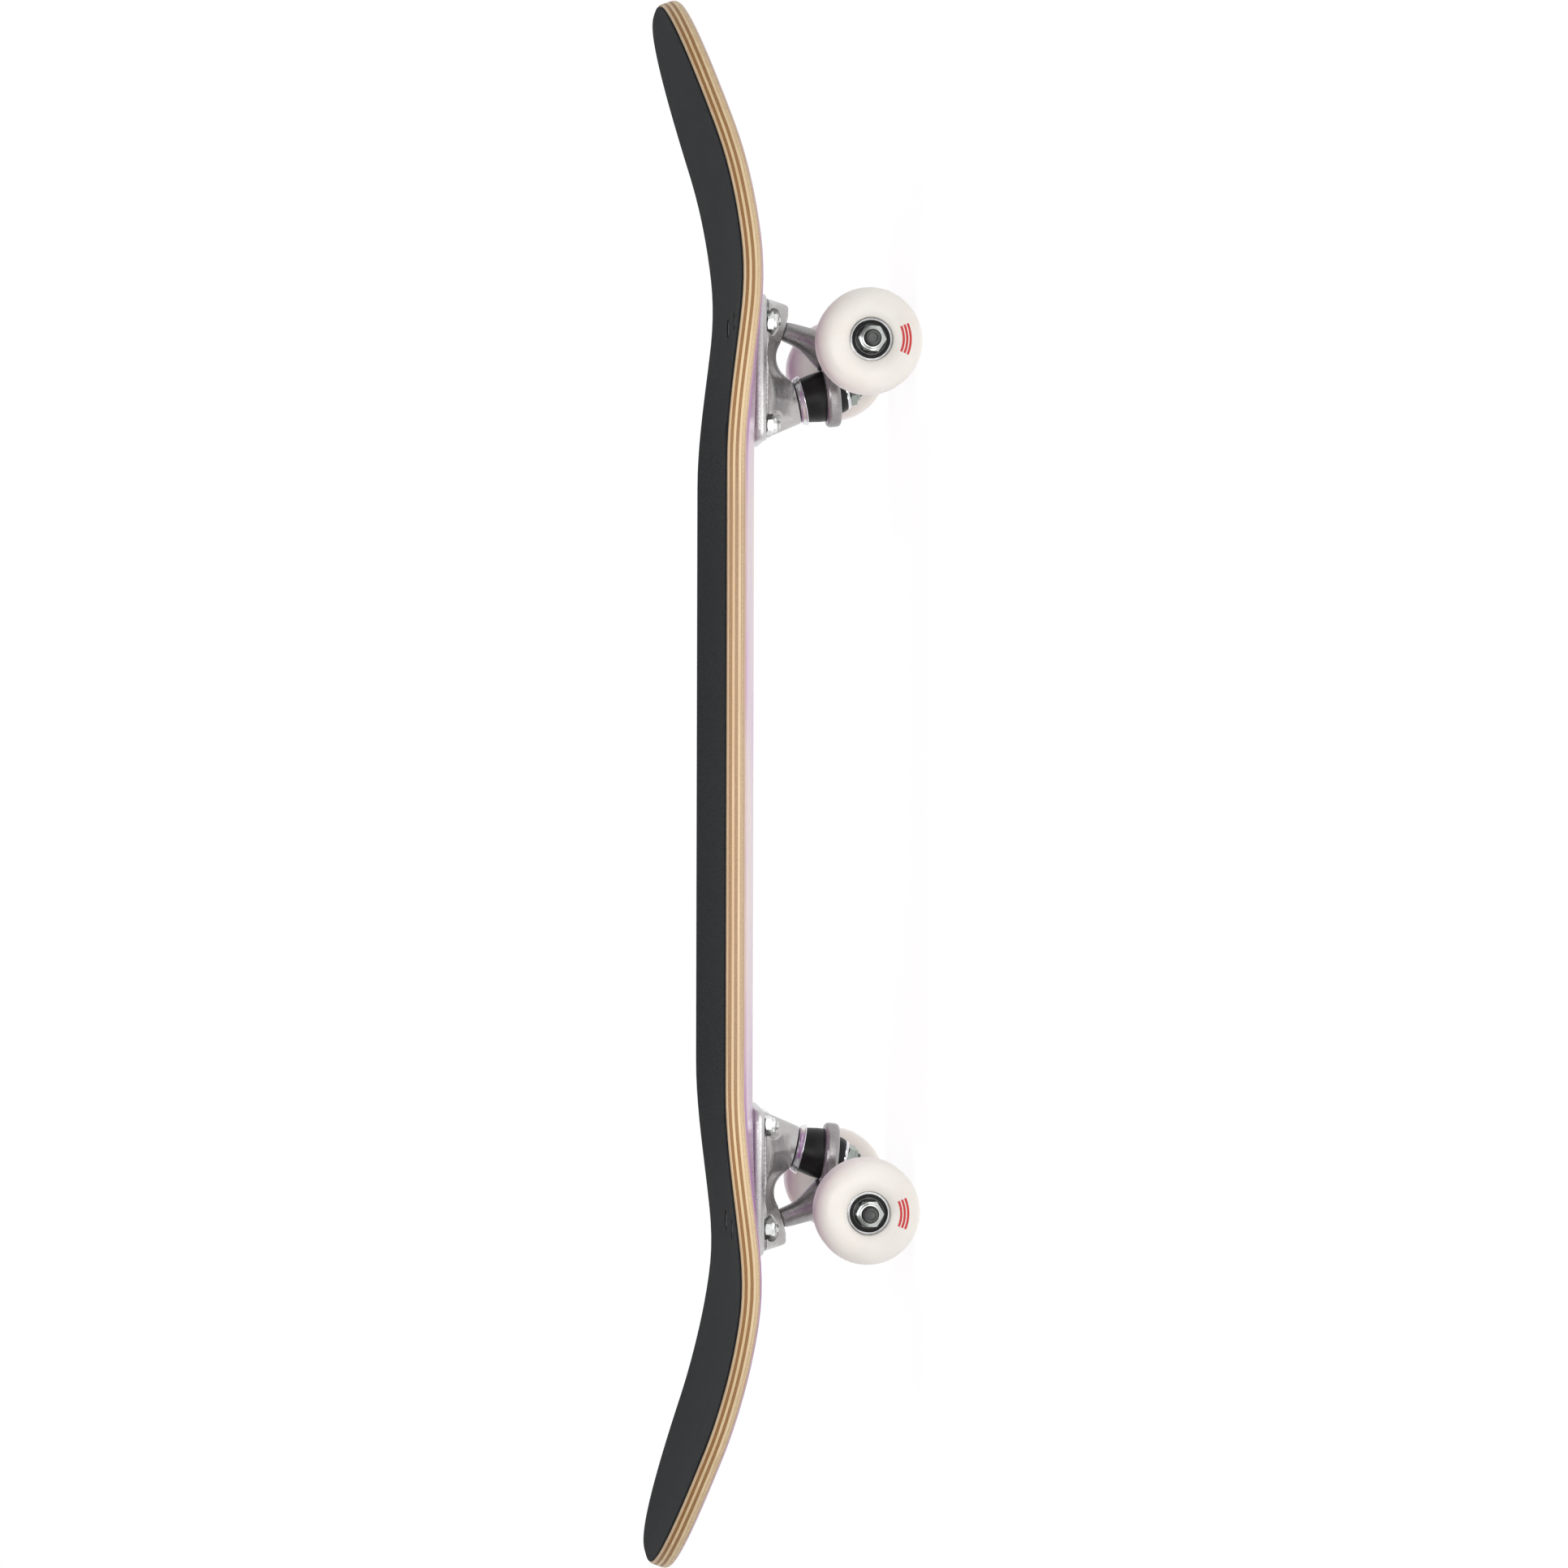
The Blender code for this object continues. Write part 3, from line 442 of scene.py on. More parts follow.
class Nodes:
    """Short calls for the nodes of a tree."""

    def __init__(self, owner):
        owner.use_nodes = True
        self.tree = owner.node_tree

    def node(self, kind, inputs, output=0, **settings):
        made = self.tree.nodes.new("ShaderNode" + kind)
        for key, value in settings.items():
            setattr(made, key, value)
        for key, value in inputs.items():
            self.feed(made.inputs[key], value)
        return made.outputs[output]

    def feed(self, socket, value):
        if isinstance(value, bpy.types.NodeSocket):
            self.tree.links.new(value, socket)
        elif socket.type == "RGBA":
            socket.default_value = (*value, 1)
        else:
            socket.default_value = value

    def parts(self, vector):
        """The x, y and z of a vector."""
        made = self.tree.nodes.new("ShaderNodeSeparateXYZ")
        self.feed(made.inputs[0], vector)
        return made.outputs

    def math(self, operation, a, b=0.0):
        return self.node("Math", {0: a, 1: b}, operation=operation)

    def span(self, value, low, high, to_low=0.0, to_high=1.0, **settings):
        return self.node("MapRange", {"Value": value, "From Min": low, "From Max": high,
                                      "To Min": to_low, "To Max": to_high}, **settings)

    def between(self, factor, a, b):
        return self.node("Mix", {0: factor, 2: a, 3: b}, data_type="FLOAT")

    def mix(self, factor, a, b, blend="MIX"):
        return self.node("Mix", {0: factor, 6: a, 7: b}, 2, data_type="RGBA", blend_type=blend)

    def ramp(self, factor, stops, interpolation="LINEAR"):
        made = self.tree.nodes.new("ShaderNodeValToRGB")
        band = made.color_ramp
        band.interpolation = interpolation
        while len(band.elements) < len(stops):
            band.elements.new(0.5)
        for element, (position, colour) in zip(band.elements, stops):
            element.position = position
            element.color = (*colour, 1)
        self.feed(made.inputs["Fac"], factor)
        return made.outputs["Color"]

    def attribute(self, name, output):
        return self.node("Attribute", {}, output, attribute_name=name)

    def bump(self, height, distance, strength=1.0, below=None):
        inputs = {"Height": height, "Distance": distance, "Strength": strength}
        if below is not None:
            inputs["Normal"] = below
        return self.node("Bump", inputs)


class Finish(Nodes):
    """Principled material with constant sockets by name; place names its attribute of coordinates."""

    def __init__(self, name, colour, roughness, metallic=0.0, place=None, **sockets):
        self.material = bpy.data.materials.new(name)
        super().__init__(self.material)
        self.surface = self.tree.nodes["Principled BSDF"].inputs
        sockets.update(Base_Color=(*colour, 1), Roughness=roughness, Metallic=metallic)
        for label, value in sockets.items():
            self.surface[label.replace("_", " ")].default_value = value
        self.at = self.attribute(place, "Vector") if place else self.node("TexCoord", {}, "Object")

    def noise(self, scale, detail=4.0, roughness=0.5):
        """Noise over the surface, with one scale or one for each axis."""
        vector = self.at
        if isinstance(scale, tuple):
            vector, scale = self.node("Mapping", {"Vector": vector, "Scale": scale}), 1.0
        return self.node("TexNoise", {"Vector": vector, "Scale": scale, "Detail": detail,
                                      "Roughness": roughness})

    def cells(self, scale):
        return self.node("TexVoronoi", {"Vector": self.at, "Scale": scale})

    def colour(self, value):
        self.feed(self.surface["Base Color"], value)

    def roughness(self, value):
        self.feed(self.surface["Roughness"], value)

    def normal(self, value):
        self.feed(self.surface["Normal"], value)


def veneer_tone(look, height, reach):
    """Colour of each ply, by its height in plies and how far along the board it is."""
    layer = look.math("DIVIDE", height, PLY_COUNT)
    tones = []
    for colours in VENEERS:
        stops = [(number / PLY_COUNT, srgb(*colour)) for number, colour in enumerate(colours)]
        tones.append(look.ramp(layer, stops, "CONSTANT"))
    return look.mix(look.span(reach, *END_GRAIN), *tones)


def stain_and_truck_shade_tone(look, reach, pores):
    """Marbled lilac and cream, with painted shade of the trucks as deeper purple near them."""
    cloud = look.noise((5, 9, 9), 3)
    from_truck_shade = look.math("ABSOLUTE", look.math("SUBTRACT", reach, TRUCK_SHADE_CENTRE))
    # painted shade: the stain turns darker purple near the trucks, standing for their shade
    cloud = look.math("SUBTRACT", cloud, look.span(from_truck_shade, 0.09, 0.03, 0.0, 0.2))
    stops = [(0.0, srgb(156, 112, 158)), (0.3, srgb(178, 146, 168)), (0.6, srgb(190, 168, 166)),
             (1.0, srgb(194, 176, 150))]
    stain = look.ramp(look.span(cloud, 0.32, 0.68), stops)
    darker = look.mix(1.0, stain, (0.72, 0.62, 0.66), "MULTIPLY")
    return look.mix(look.span(pores, 0.45, 0.8, 0.0, 0.25), stain, darker)


def maple_finish():
    """Seven veneers on the edge, and a glossy lilac stain over the underside and its rounded rim."""
    look = Finish("maple_plies", (0.6, 0.42, 0.26), 0.42, place="board_place", Specular_IOR_Level=0.25)
    height = look.attribute("ply_height", "Fac")
    reach = look.math("ABSOLUTE", look.parts(look.at)[0])
    veneer = veneer_tone(look, height, reach)
    band = look.math("PINGPONG", look.math("FLOOR", height), 1.0)
    grain = look.between(band, look.noise((14, 420, 900), 5, 0.6), look.noise((900, 30, 900), 4, 0.6))
    streaked = look.mix(look.span(grain, 0.35, 0.75, 0.0, 0.55), veneer,
                        look.mix(1.0, veneer, (0.66, 0.52, 0.38), "MULTIPLY"))
    within = look.math("FRACT", height)
    from_seam = look.math("MINIMUM", within, look.math("SUBTRACT", 1.0, within))
    glued = look.mix(look.span(from_seam, 0.02, 0.11, 0.55, 0.0), streaked, srgb(128, 92, 56))
    wobble = look.noise((60, 60, 0), 3)
    painted = look.span(look.math("ADD", height, look.math("MULTIPLY", wobble, 0.3)), 0.80, 0.62)
    pores = look.noise((22, 500, 500), 5, 0.65)
    look.colour(look.mix(painted, glued, stain_and_truck_shade_tone(look, reach, pores)))
    look.roughness(look.between(painted, look.span(grain, 0.3, 0.8, 0.40, 0.58),
                                look.span(pores, 0.3, 0.8, 0.18, 0.30)))
    fibres = look.bump(grain, 0.00012, 0.5)
    peel = look.noise((120, 120, 120), 2)
    look.normal(look.bump(look.math("ADD", look.math("MULTIPLY", pores, 0.4), peel), 0.00004, 0.5, fibres))
    return look.material


def grip_finish():
    """Silicon carbide grit on charcoal paper, with faint scuffs and painted glints on some grains."""
    look = Finish("grip_grit", srgb(50, 53, 57), 0.9, place="board_place", Specular_IOR_Level=0.25)
    grit = look.cells(2400)
    coarse = look.noise(1500, 6, 0.7)
    patches = look.noise(26, 4, 0.6)
    scuffs = look.noise((30, 130, 30), 5, 0.7)
    stops = [(0.0, srgb(13, 14, 16)), (0.55, srgb(27, 29, 32)), (1.0, srgb(56, 58, 62))]
    tone = look.ramp(look.span(coarse, 0.3, 0.72), stops)
    tone = look.mix(look.span(patches, 0.35, 0.7, 0.0, 0.5), tone, srgb(34, 37, 39))
    tone = look.mix(look.span(scuffs, 0.62, 0.8, 0.0, 0.25), tone, srgb(74, 77, 79))
    # painted highlight: some grains are coloured lighter as glints, and their low roughness gives real shine
    # too
    painted_glints = look.span(look.cells(900), 0.09, 0.03)
    look.colour(look.mix(look.math("MULTIPLY", painted_glints, 0.5), tone, srgb(150, 154, 158)))
    look.roughness(look.span(painted_glints, 0.0, 1.0, 0.93, 0.35))
    rough = look.math("ADD", look.span(grit, 0.0, 0.8, 1.0, 0.0), look.math("MULTIPLY", coarse, 0.9))
    look.normal(look.bump(rough, 0.00022, 0.9))
    return look.material


def cast_finish(name, dark, light, tint, roughness):
    """Tumbled aluminium casting with a dull oxide: clouded tone, fine pits, brighter worn edges, and painted
    shade that darkens its creases.
    """
    look = Finish(name, light, roughness, CAST_METALLIC)
    cloud = look.noise(60, 5, 0.6)
    fine = look.noise(900, 6, 0.65)
    pits = look.span(look.cells(1100), 0.22, 0.04)
    tone = look.ramp(look.span(cloud, 0.3, 0.7), [(0.0, dark), (1.0, light)])
    tone = look.mix(look.span(fine, 0.35, 0.75, 0.0, 0.35), tone, tint)
    edge_wear_and_crease_shade = look.node("NewGeometry", {}, "Pointiness")
    tone = look.mix(look.span(edge_wear_and_crease_shade, 0.515, 0.56, 0.0, 0.55), tone, (0.82, 0.82, 0.83))
    # painted shade: concave creases are darkened towards near black
    tone = look.mix(look.span(edge_wear_and_crease_shade, 0.47, 0.42, 0.0, 0.6), tone, (0.12, 0.11, 0.12))
    look.colour(look.mix(look.math("MULTIPLY", pits, 0.04), tone, (0.08, 0.08, 0.08)))
    look.roughness(look.span(fine, 0.3, 0.75, roughness - 0.07, roughness + 0.12))
    grainy = look.bump(fine, 0.00004, 0.5)
    look.normal(look.bump(look.math("SUBTRACT", 1.0, pits), 0.00002, 0.3, grainy))
    return look.material


def plated_finish(name, colour, roughness, variation=0.08, shade=(0.22, 0.24, 0.22), metallic=1.0):
    """Plated, ground or painted steel: slight stain, brushed micro-scratches."""
    look = Finish(name, colour, roughness, metallic, Specular_IOR_Level=0.3)
    stain = look.noise(240, 4, 0.6)
    scratch = look.noise((3000, 3000, 260), 3, 0.6)
    look.colour(look.mix(look.span(stain, 0.42, 0.78, 0.0, 0.45), colour, shade))
    look.roughness(look.span(scratch, 0.3, 0.75, max(roughness - variation, 0.03), roughness + variation))
    look.normal(look.bump(scratch, 0.000012, 0.5))
    return look.material


def bushing_finish():
    """Moulded black urethane with a dusty bloom."""
    look = Finish("bushing_urethane_black", (0.008, 0.008, 0.008), 0.4, Specular_IOR_Level=0.3)
    cloud = look.noise(150, 5, 0.6)
    fine = look.noise(1600, 4, 0.6)
    stops = [(0.0, (0.004, 0.004, 0.004)), (1.0, (0.010, 0.010, 0.010))]
    look.colour(look.ramp(look.span(cloud, 0.35, 0.75), stops))
    look.roughness(look.span(cloud, 0.3, 0.7, 0.34, 0.5))
    look.normal(look.bump(fine, 0.00003, 0.5))
    return look.material


def printed_arcs(look, radius, angle, height):
    """Mask of the red arcs, by place on the wheel."""
    arcs = 0.0
    for middle in PRINT_RADII:
        offset = look.math("ABSOLUTE", look.math("SUBTRACT", radius, middle))
        arcs = look.math("MAXIMUM", arcs, look.span(offset, 0.00064, 0.00058))
    sweep = look.span(look.math("ABSOLUTE", angle), 0.412, 0.405)
    outward = look.span(height, 0.010, 0.0105)
    return look.math("MULTIPLY", look.math("MULTIPLY", arcs, sweep), outward)


def wheel_finish():
    """Cast cream urethane, with plain red printed arcs on the outward face."""
    look = Finish("wheel_urethane_cream", srgb(238, 233, 226), 0.36, Subsurface_Weight=0.12,
                  Subsurface_Scale=0.004, Subsurface_Radius=(1.0, 0.75, 0.6))
    x, y, z = look.parts(look.at)
    radius = look.math("SQRT", look.math("ADD", look.math("MULTIPLY", x, x), look.math("MULTIPLY", y, y)))
    cloud = look.noise(45, 4, 0.55)
    fine = look.noise(1300, 4, 0.6)
    base = look.ramp(look.span(cloud, 0.3, 0.7), [(0.0, srgb(234, 228, 220)), (1.0, srgb(240, 236, 230))])
    tread = look.span(radius, 0.0255, 0.0268)
    dust = look.math("MULTIPLY", tread, look.span(fine, 0.5, 0.75, 0.0, 0.25))
    base = look.mix(dust, base, srgb(205, 196, 188))
    ink = printed_arcs(look, radius, look.math("ARCTAN2", y, x), z)
    worn = look.math("MULTIPLY", ink, look.span(fine, 0.30, 0.42, 0.75, 1.0))
    look.colour(look.mix(worn, base, srgb(206, 40, 46)))
    look.roughness(look.span(fine, 0.3, 0.75, 0.32, 0.44))
    lathe = look.noise((20, 20, 2600), 3)
    lined = look.bump(look.math("MULTIPLY", tread, lathe), 0.00006, 0.5)
    look.normal(look.bump(fine, 0.00002, 0.4, lined))
    return look.material


def shield_finish():
    """Pressed bearing shield: dark steel with turned rings."""
    look = Finish("bearing_shield", (0.20, 0.20, 0.21), 0.32, 1.0)
    rings = look.node("TexWave", {"Vector": look.at, "Scale": 700, "Distortion": 0.6, "Detail": 2},
                      1, wave_type="RINGS", rings_direction="Z")
    fine = look.noise(1500, 3)
    stops = [(0.0, (0.055, 0.055, 0.057)), (1.0, (0.12, 0.12, 0.122))]
    look.colour(look.ramp(look.span(fine, 0.3, 0.75), stops))
    look.roughness(look.span(rings, 0.0, 1.0, 0.24, 0.42))
    look.normal(look.bump(rings, 0.00002, 0.5))
    return look.material


def floor_finish():
    """Pale studio floor, a little dimmer towards the front, and clear from below."""
    look = Finish("studio_floor", (0.22, 0.22, 0.22), 0.8, Specular_IOR_Level=0, Emission_Color=(1, 1, 1, 1))
    glow = look.span(look.parts(look.at)[1], 1.4, 5.0, FLOOR_GLOW, 0.3)
    look.feed(look.surface["Emission Strength"], glow)
    under = look.node("NewGeometry", {}, "Backfacing")
    look.feed(look.surface["Alpha"], look.math("SUBTRACT", 1.0, under))
    return look.material


FINISHES = {
    "maple": maple_finish(),
    "grip": grip_finish(),
    "cast": cast_finish("cast_aluminium_satin", (0.42, 0.41, 0.405), (0.60, 0.59, 0.585),
                        (0.36, 0.35, 0.345), 0.31),
    "flange": cast_finish("flange_aluminium_bright", (0.45, 0.44, 0.435), (0.60, 0.59, 0.585),
                          (0.38, 0.37, 0.365), 0.28),
    "hanger": cast_finish("hanger_aluminium_satin", (0.29, 0.275, 0.278), (0.44, 0.425, 0.428),
                          (0.22, 0.21, 0.212), 0.29),
    "zinc": plated_finish("zinc_bright", (0.82, 0.84, 0.83), 0.20),
    # painted shade: the axle nuts' zinc is a darker copy of bright zinc, standing for the dark reflections on
    # their faces
    "nut": plated_finish("zinc_grey_painted_shade", (0.58, 0.61, 0.59), 0.22),
    # painted shade: the kingpin nut's zinc is a still darker copy of bright zinc, standing for the shade it
    # sits in
    "kingpin_nut": plated_finish("zinc_dull_painted_shade", (0.34, 0.38, 0.35), 0.26),
    "chrome": plated_finish("chrome_polished", (0.80, 0.81, 0.83), 0.08, 0.04, (0.55, 0.56, 0.60)),
    "head": plated_finish("black_painted_steel", (0.05, 0.052, 0.056), 0.5, 0.08, (0.03, 0.031, 0.033), 0.0),
    "steel": plated_finish("bearing_race", (0.66, 0.66, 0.67), 0.18),
    "dark": plated_finish("axle_steel", (0.085, 0.087, 0.088), 0.42),
    "bushing": bushing_finish(),
    "wheel": wheel_finish(),
    "shield": shield_finish(),
}


# Deck and grip tape, in the board frame

def smooth_step(start, end, value):
    share = min(max((value - start) / (end - start), 0.0), 1.0)
    return share * share * (3 - 2 * share)


def kick_angle(x):
    """Slope of the centre line: level, then an arc, then straight to the tip."""
    start, limit = NOSE_KICK if x > 0 else TAIL_KICK
    along = min(max(abs(x) - start, 0.0), KICK_RADIUS * sin(limit))
    return asin(along / KICK_RADIUS)


def underside(x, y):
    start, limit = NOSE_KICK if x > 0 else TAIL_KICK
    straight = max(abs(x) - start - KICK_RADIUS * sin(limit), 0.0)
    centre = KICK_RADIUS * (1 - cos(kick_angle(x))) + straight * tan(limit)
    kick_concave = CONCAVE_NOSE if x > 0 else CONCAVE_TAIL
    concave = CONCAVE_MID + (CONCAVE_AT_KICK - CONCAVE_MID) * smooth_step(*CONCAVE_FADE, abs(x))
    concave += (kick_concave - CONCAVE_AT_KICK) * smooth_step(*KICK_CONCAVE_FADE, abs(x))
    return centre + concave * (abs(y) / DECK_HALF_WIDTH) ** CONCAVE_POWER


def board_point(x, y, height):
    """Point at a height above the underside, measured square to the centre line."""
    angle = copysign(kick_angle(x), x)
    return Vector((x - sin(angle) * height, y, underside(x, y) + cos(angle) * height))


def outline_rows(inset):
    """(x, half width) of each row across the board, tail to nose, drawn in by an inset."""
    sides = []
    for side, reach in ((-1, TAIL_REACH - inset), (1, NOSE_REACH - inset)):
        half = []
        for step in range(END_STATIONS + 1):
            turn = pi / 2 * TIP_FRACTION * step / END_STATIONS
            x = CONCAVE_FADE[0] + (reach - CONCAVE_FADE[0]) * sin(turn)
            share = max(x - OUTLINE_START, 0.0) / (reach - OUTLINE_START)
            width = (DECK_HALF_WIDTH - inset) * (1 - share ** OUTLINE_POWER) ** (1 / OUTLINE_POWER)
            half.append((side * x, width))
        sides.append(half)
    tail, nose = sides
    middle = [(CONCAVE_FADE[0] * (2 * step / MID_STATIONS - 1), DECK_HALF_WIDTH - inset)
              for step in range(1, MID_STATIONS)]
    return tail[::-1] + middle + nose


def sheet_level(mesh, inset, height, filled):
    """Vertices of one level in rows: all of them where it is filled, otherwise only its rim."""
    flat_place = mesh.verts.layers.float_vector["board_place"]
    ply_height = mesh.verts.layers.float["ply_height"]
    outline = outline_rows(inset)
    grid = []
    for row, (x, width) in enumerate(outline):
        line = []
        for span in range(SPANS_ACROSS + 1):
            vert = None
            if filled or row in (0, len(outline) - 1) or span in (0, SPANS_ACROSS):
                y = width * (2 * span / SPANS_ACROSS - 1)
                vert = mesh.verts.new(board_point(x, y, height))
                vert[flat_place] = Vector((x, y, height)) * MM
                vert[ply_height] = height / PLY
            line.append(vert)
        grid.append(line)
    return grid


def rim_places(rows):
    """(row, span) once round the rim of a level."""
    rim = [(row, 0) for row in range(rows)]
    rim += [(rows - 1, span) for span in range(1, SPANS_ACROSS + 1)]
    rim += [(row, SPANS_ACROSS) for row in range(rows - 2, -1, -1)]
    return rim + [(0, span) for span in range(SPANS_ACROSS - 1, 0, -1)]


def board_sheet(levels):
    """Closed sheet that follows the board; levels are (inset, height), bottom face to top face.

    Each vertex keeps its flat place on the board and its height in plies, for the wood grain.
    """
    mesh = bmesh.new()
    mesh.verts.layers.float_vector.new("board_place")
    mesh.verts.layers.float.new("ply_height")
    grids = [sheet_level(mesh, *level, number in (0, len(levels) - 1)) for number, level in enumerate(levels)]
    for grid in (grids[0], grids[-1]):
        for near, far in zip(grid, grid[1:]):
            for span in range(SPANS_ACROSS):
                mesh.faces.new([near[span], far[span], far[span + 1], near[span + 1]])
    rim = rim_places(len(grids[0]))
    for lower, upper in zip(grids, grids[1:]):
        for (row, span), (next_row, next_span) in zip(rim, rim[1:] + rim[:1]):
            mesh.faces.new([lower[row][span], lower[next_row][next_span],
                            upper[next_row][next_span], upper[row][span]])
    bmesh.ops.recalc_face_normals(mesh, faces=mesh.faces)
    return mesh


def deck_levels():
    """Rounded lower rim, a fine glue line at each ply, and a lightly broken top edge."""
    levels = arc_points((BOTTOM_ROUND, BOTTOM_ROUND), BOTTOM_ROUND, 270, 180, 6)
    for ply in range(3, PLY_COUNT):
        seam = ply * PLY
        levels += [(0.0, seam - GLUE_LINE), (GLUE_LINE, seam), (0.0, seam + GLUE_LINE)]
    return levels + arc_points((TOP_ROUND, DECK_THICKNESS - TOP_ROUND), TOP_ROUND, 180, 90, 3)


def bolt_places():
    """(x, y) of each mounting bolt in its truck's frame, numbered as the CAD nodes are."""
    return [(BOLT_CENTRE + dx * BOLT_PITCH[0] / 2, dy * BOLT_PITCH[1] / 2)
            for dx in (-1, 1) for dy in (-1, 1)]


def bolt_cutter(slack):
    """Countersunk hole with its mouth above the grip tape."""
    head, shank, top = BOLT_HEAD_RADIUS + slack, BOLT_RADIUS + slack, BOLT_HEAD_TOP
    return turned([(0, top + 3), (head, top + 3), (head, top - 0.6), (shank, top - 3.0), (shank, -2),
                   (0, -2)], 32)


def add_board():
    top = DECK_THICKNESS
    grip_levels = [(GRIP_INSET, top - 0.02), (GRIP_INSET, top + GRIP_THICKNESS - 0.25),
                   (GRIP_INSET + 0.2, top + GRIP_THICKNESS)]
    spots = []
    for truck in TRUCK.values():
        local = Matrix.Scale(1 / MM, 4) @ BOARD.inverted() @ truck @ TO_METRES
        spots += [local @ Matrix.Translation((x, y, 0)) for x, y in bolt_places()]
    for name, node, levels, slack, finish in (("deck_plies", "deck", deck_levels(), 0.15, "maple"),
                                              ("grip_sheet", "grip_tape", grip_levels, 0.2, "grip")):
        holes = joined([moved(bolt_cutter(slack), spot) for spot in spots])
        sheet = cut(board_sheet(levels), [holes], "EXACT")
        add_piece(name, sheet, BOARD, "deck", node, finish, finish, smooth_angle=40)


# Fasteners

def hexagon_reach(flat, angle):
    """Distance from the centre of a hexagon to its side, where flat is half its width."""
    return flat / cos((angle + pi / 6) % (pi / 3) - pi / 6)


def lock_nut(flats, height, bore, collar):
    """Hexagon with turned chamfers, a rounded collar and a nylon ring in it."""
    flat = flats / 2
    face, rim = 0.95 * flat, 0.885 * flat
    hexagon = height - collar
    step = min(0.45, 0.3 * collar)

    def outline(angle):
        reach = hexagon_reach(flat, angle)
        bevel = (reach - face) * tan(radians(30))
        return [(bore, 0.25), (bore + 0.25, 0), (face, 0), (reach, bevel), (reach, hexagon - bevel),
                (face, hexagon), (rim, hexagon + 0.05), (rim, height - 1.6 * step),
                (rim - 0.1 * step, height - step), (rim - 0.5 * step, height - 0.3 * step),
                (rim - step, height), (bore + 0.75, height), (bore + 0.6, height - 0.15),
                (bore + 0.55, height - 0.6), (bore, height - 0.6)]
    return turned(outline, 96, [0] * 12 + [1] * 2 + [0])


def bolt_shape():
    """Countersunk bolt with a cross recess, top face at BOLT_HEAD_TOP, threaded below."""
    head = BOLT_HEAD_RADIUS
    top = BOLT_HEAD_TOP
    body = turned([(0, top), (head - 0.5, top - 0.02), (head - 0.1, top - 0.15), (head, top - 0.5),
                   (BOLT_RADIUS, top - 2.9), (BOLT_RADIUS, -3), (0, -3)], 48)
    cross = [box_shape((-2.3, -0.45, top - 1.4), (2.3, 0.45, top + 1)),
             box_shape((-0.45, -2.3, top - 1.4), (0.45, 2.3, top + 1))]
    thread = threaded(BOLT_RADIUS, BOLT_THREAD, 0, BOLT_THREAD_START - BOLT_END)
    down = Matrix.Translation((0, 0, BOLT_THREAD_START)) @ FLIP
    return joined([cut(body, cross, "EXACT"), moved(finished(thread, 1), down)])


def add_bolts(end):
    flip = Matrix.Translation((0, 0, (-FLANGE_THICKNESS - 0.35) * MM)) @ FLIP
    bolt_turn, nut_turn = BOLT_TURNS[end]
    for number, (x, y) in enumerate(bolt_places(), 1):
        place = TRUCK[end] @ Matrix.Translation(Vector((x, y, 0)) * MM)
        add_piece(f"{end}_bolt_{number}_piece", bolt_shape(), place @ about_z(bolt_turn + 17 * number),
                  "deck", f"{end}_bolt_{number}", "zinc_steel", "head", "zinc")
        add_piece(f"{end}_lock_nut_{number}_piece", lock_nut(*BOLT_NUT),
                  place @ flip @ about_z(nut_turn + 7 * number), "deck",
                  f"{end}_lock_nut_{number}", "zinc_steel", "zinc", "bushing")


# Trucks

KINGPIN_AXIS = Vector((sin(KINGPIN_TILT), 0, -cos(KINGPIN_TILT)))
KINGPIN_FRAME = frame_along(KINGPIN_SEAT, KINGPIN_AXIS)
PIVOT_AXIS = Vector((-sin(PIVOT_TILT), 0, -cos(PIVOT_TILT)))
PIVOT_FRAME = frame_along(PIVOT, PIVOT_AXIS)
RING_FRAME = frame_along(KINGPIN_SEAT + KINGPIN_AXIS * RING_ALONG, (sin(RING_TILT), 0, -cos(RING_TILT)))
AXLE_CENTRE = Vector((0, 0, -AXLE_DROP))
SIDEWAYS = Matrix.Rotation(radians(90), 4, "X")


def flange_loop(inset, z):
    corner = max(FLANGE_CORNER - inset, 0.5)
    corners = ((FLANGE_X[1], 1, 1), (FLANGE_X[0], -1, 1), (FLANGE_X[0], -1, -1), (FLANGE_X[1], 1, -1))
    loop = []
    for number, (x, side_x, side_y) in enumerate(corners):
        centre = (x - side_x * FLANGE_CORNER, side_y * (FLANGE_HALF_WIDTH - FLANGE_CORNER))
        loop += [(px, py, z) for px, py in arc_points(centre, corner, 90 * number, 90 * number + 90, 10)]
    return loop


def plate_body():
    """Bell-shaped web under the flange: its side profile sinks towards the flange as it gets wider."""
    top = -2.0
    profile = [(-41.5, top), (29.8, top), (29.0, -8.0), (26.4, -16.4), (25.6, -17.8), (24.2, -18.3),
               (21.0, -17.9)]
    profile += arc_points((-1.5, -24.3), 12.6, 52, 142, 14)
    profile += [(-14.2, -20.0), (-25.0, -22.8), (-34.0, -20.6)]
    widths = ((26.4, 0.20), (25.6, 0.31), (23.0, 0.42), (19.0, 0.54), (14.0, 0.74), (10.5, 0.94), (8.5, 1.0))
    stations = [(-width, depth) for width, depth in widths] + list(reversed(widths))
    loops = []
    for y, depth in stations:
        narrow = 1 - 0.05 * (abs(y) / widths[0][0]) ** 2
        loops.append([(x * narrow, y, top + (z - top) * depth) for x, z in profile])
    return stacked(loops)


def at_bolts(*size):
    """A cylinder at each mounting bolt."""
    return [moved(cylinder(*size), Matrix.Translation((x, y, 0))) for x, y in bolt_places()]


def rib_rows():
    """Plain locating ribs under both edges of the flange."""
    starts = [RIB_START + RIB_PITCH * number for number in range(RIB_COUNT)]
    return [box_shape((x, y - 0.4, -5.65), (x + 1.4, y + 0.4, -4.9))
            for y in (-RIB_LINE, RIB_LINE) for x in starts]


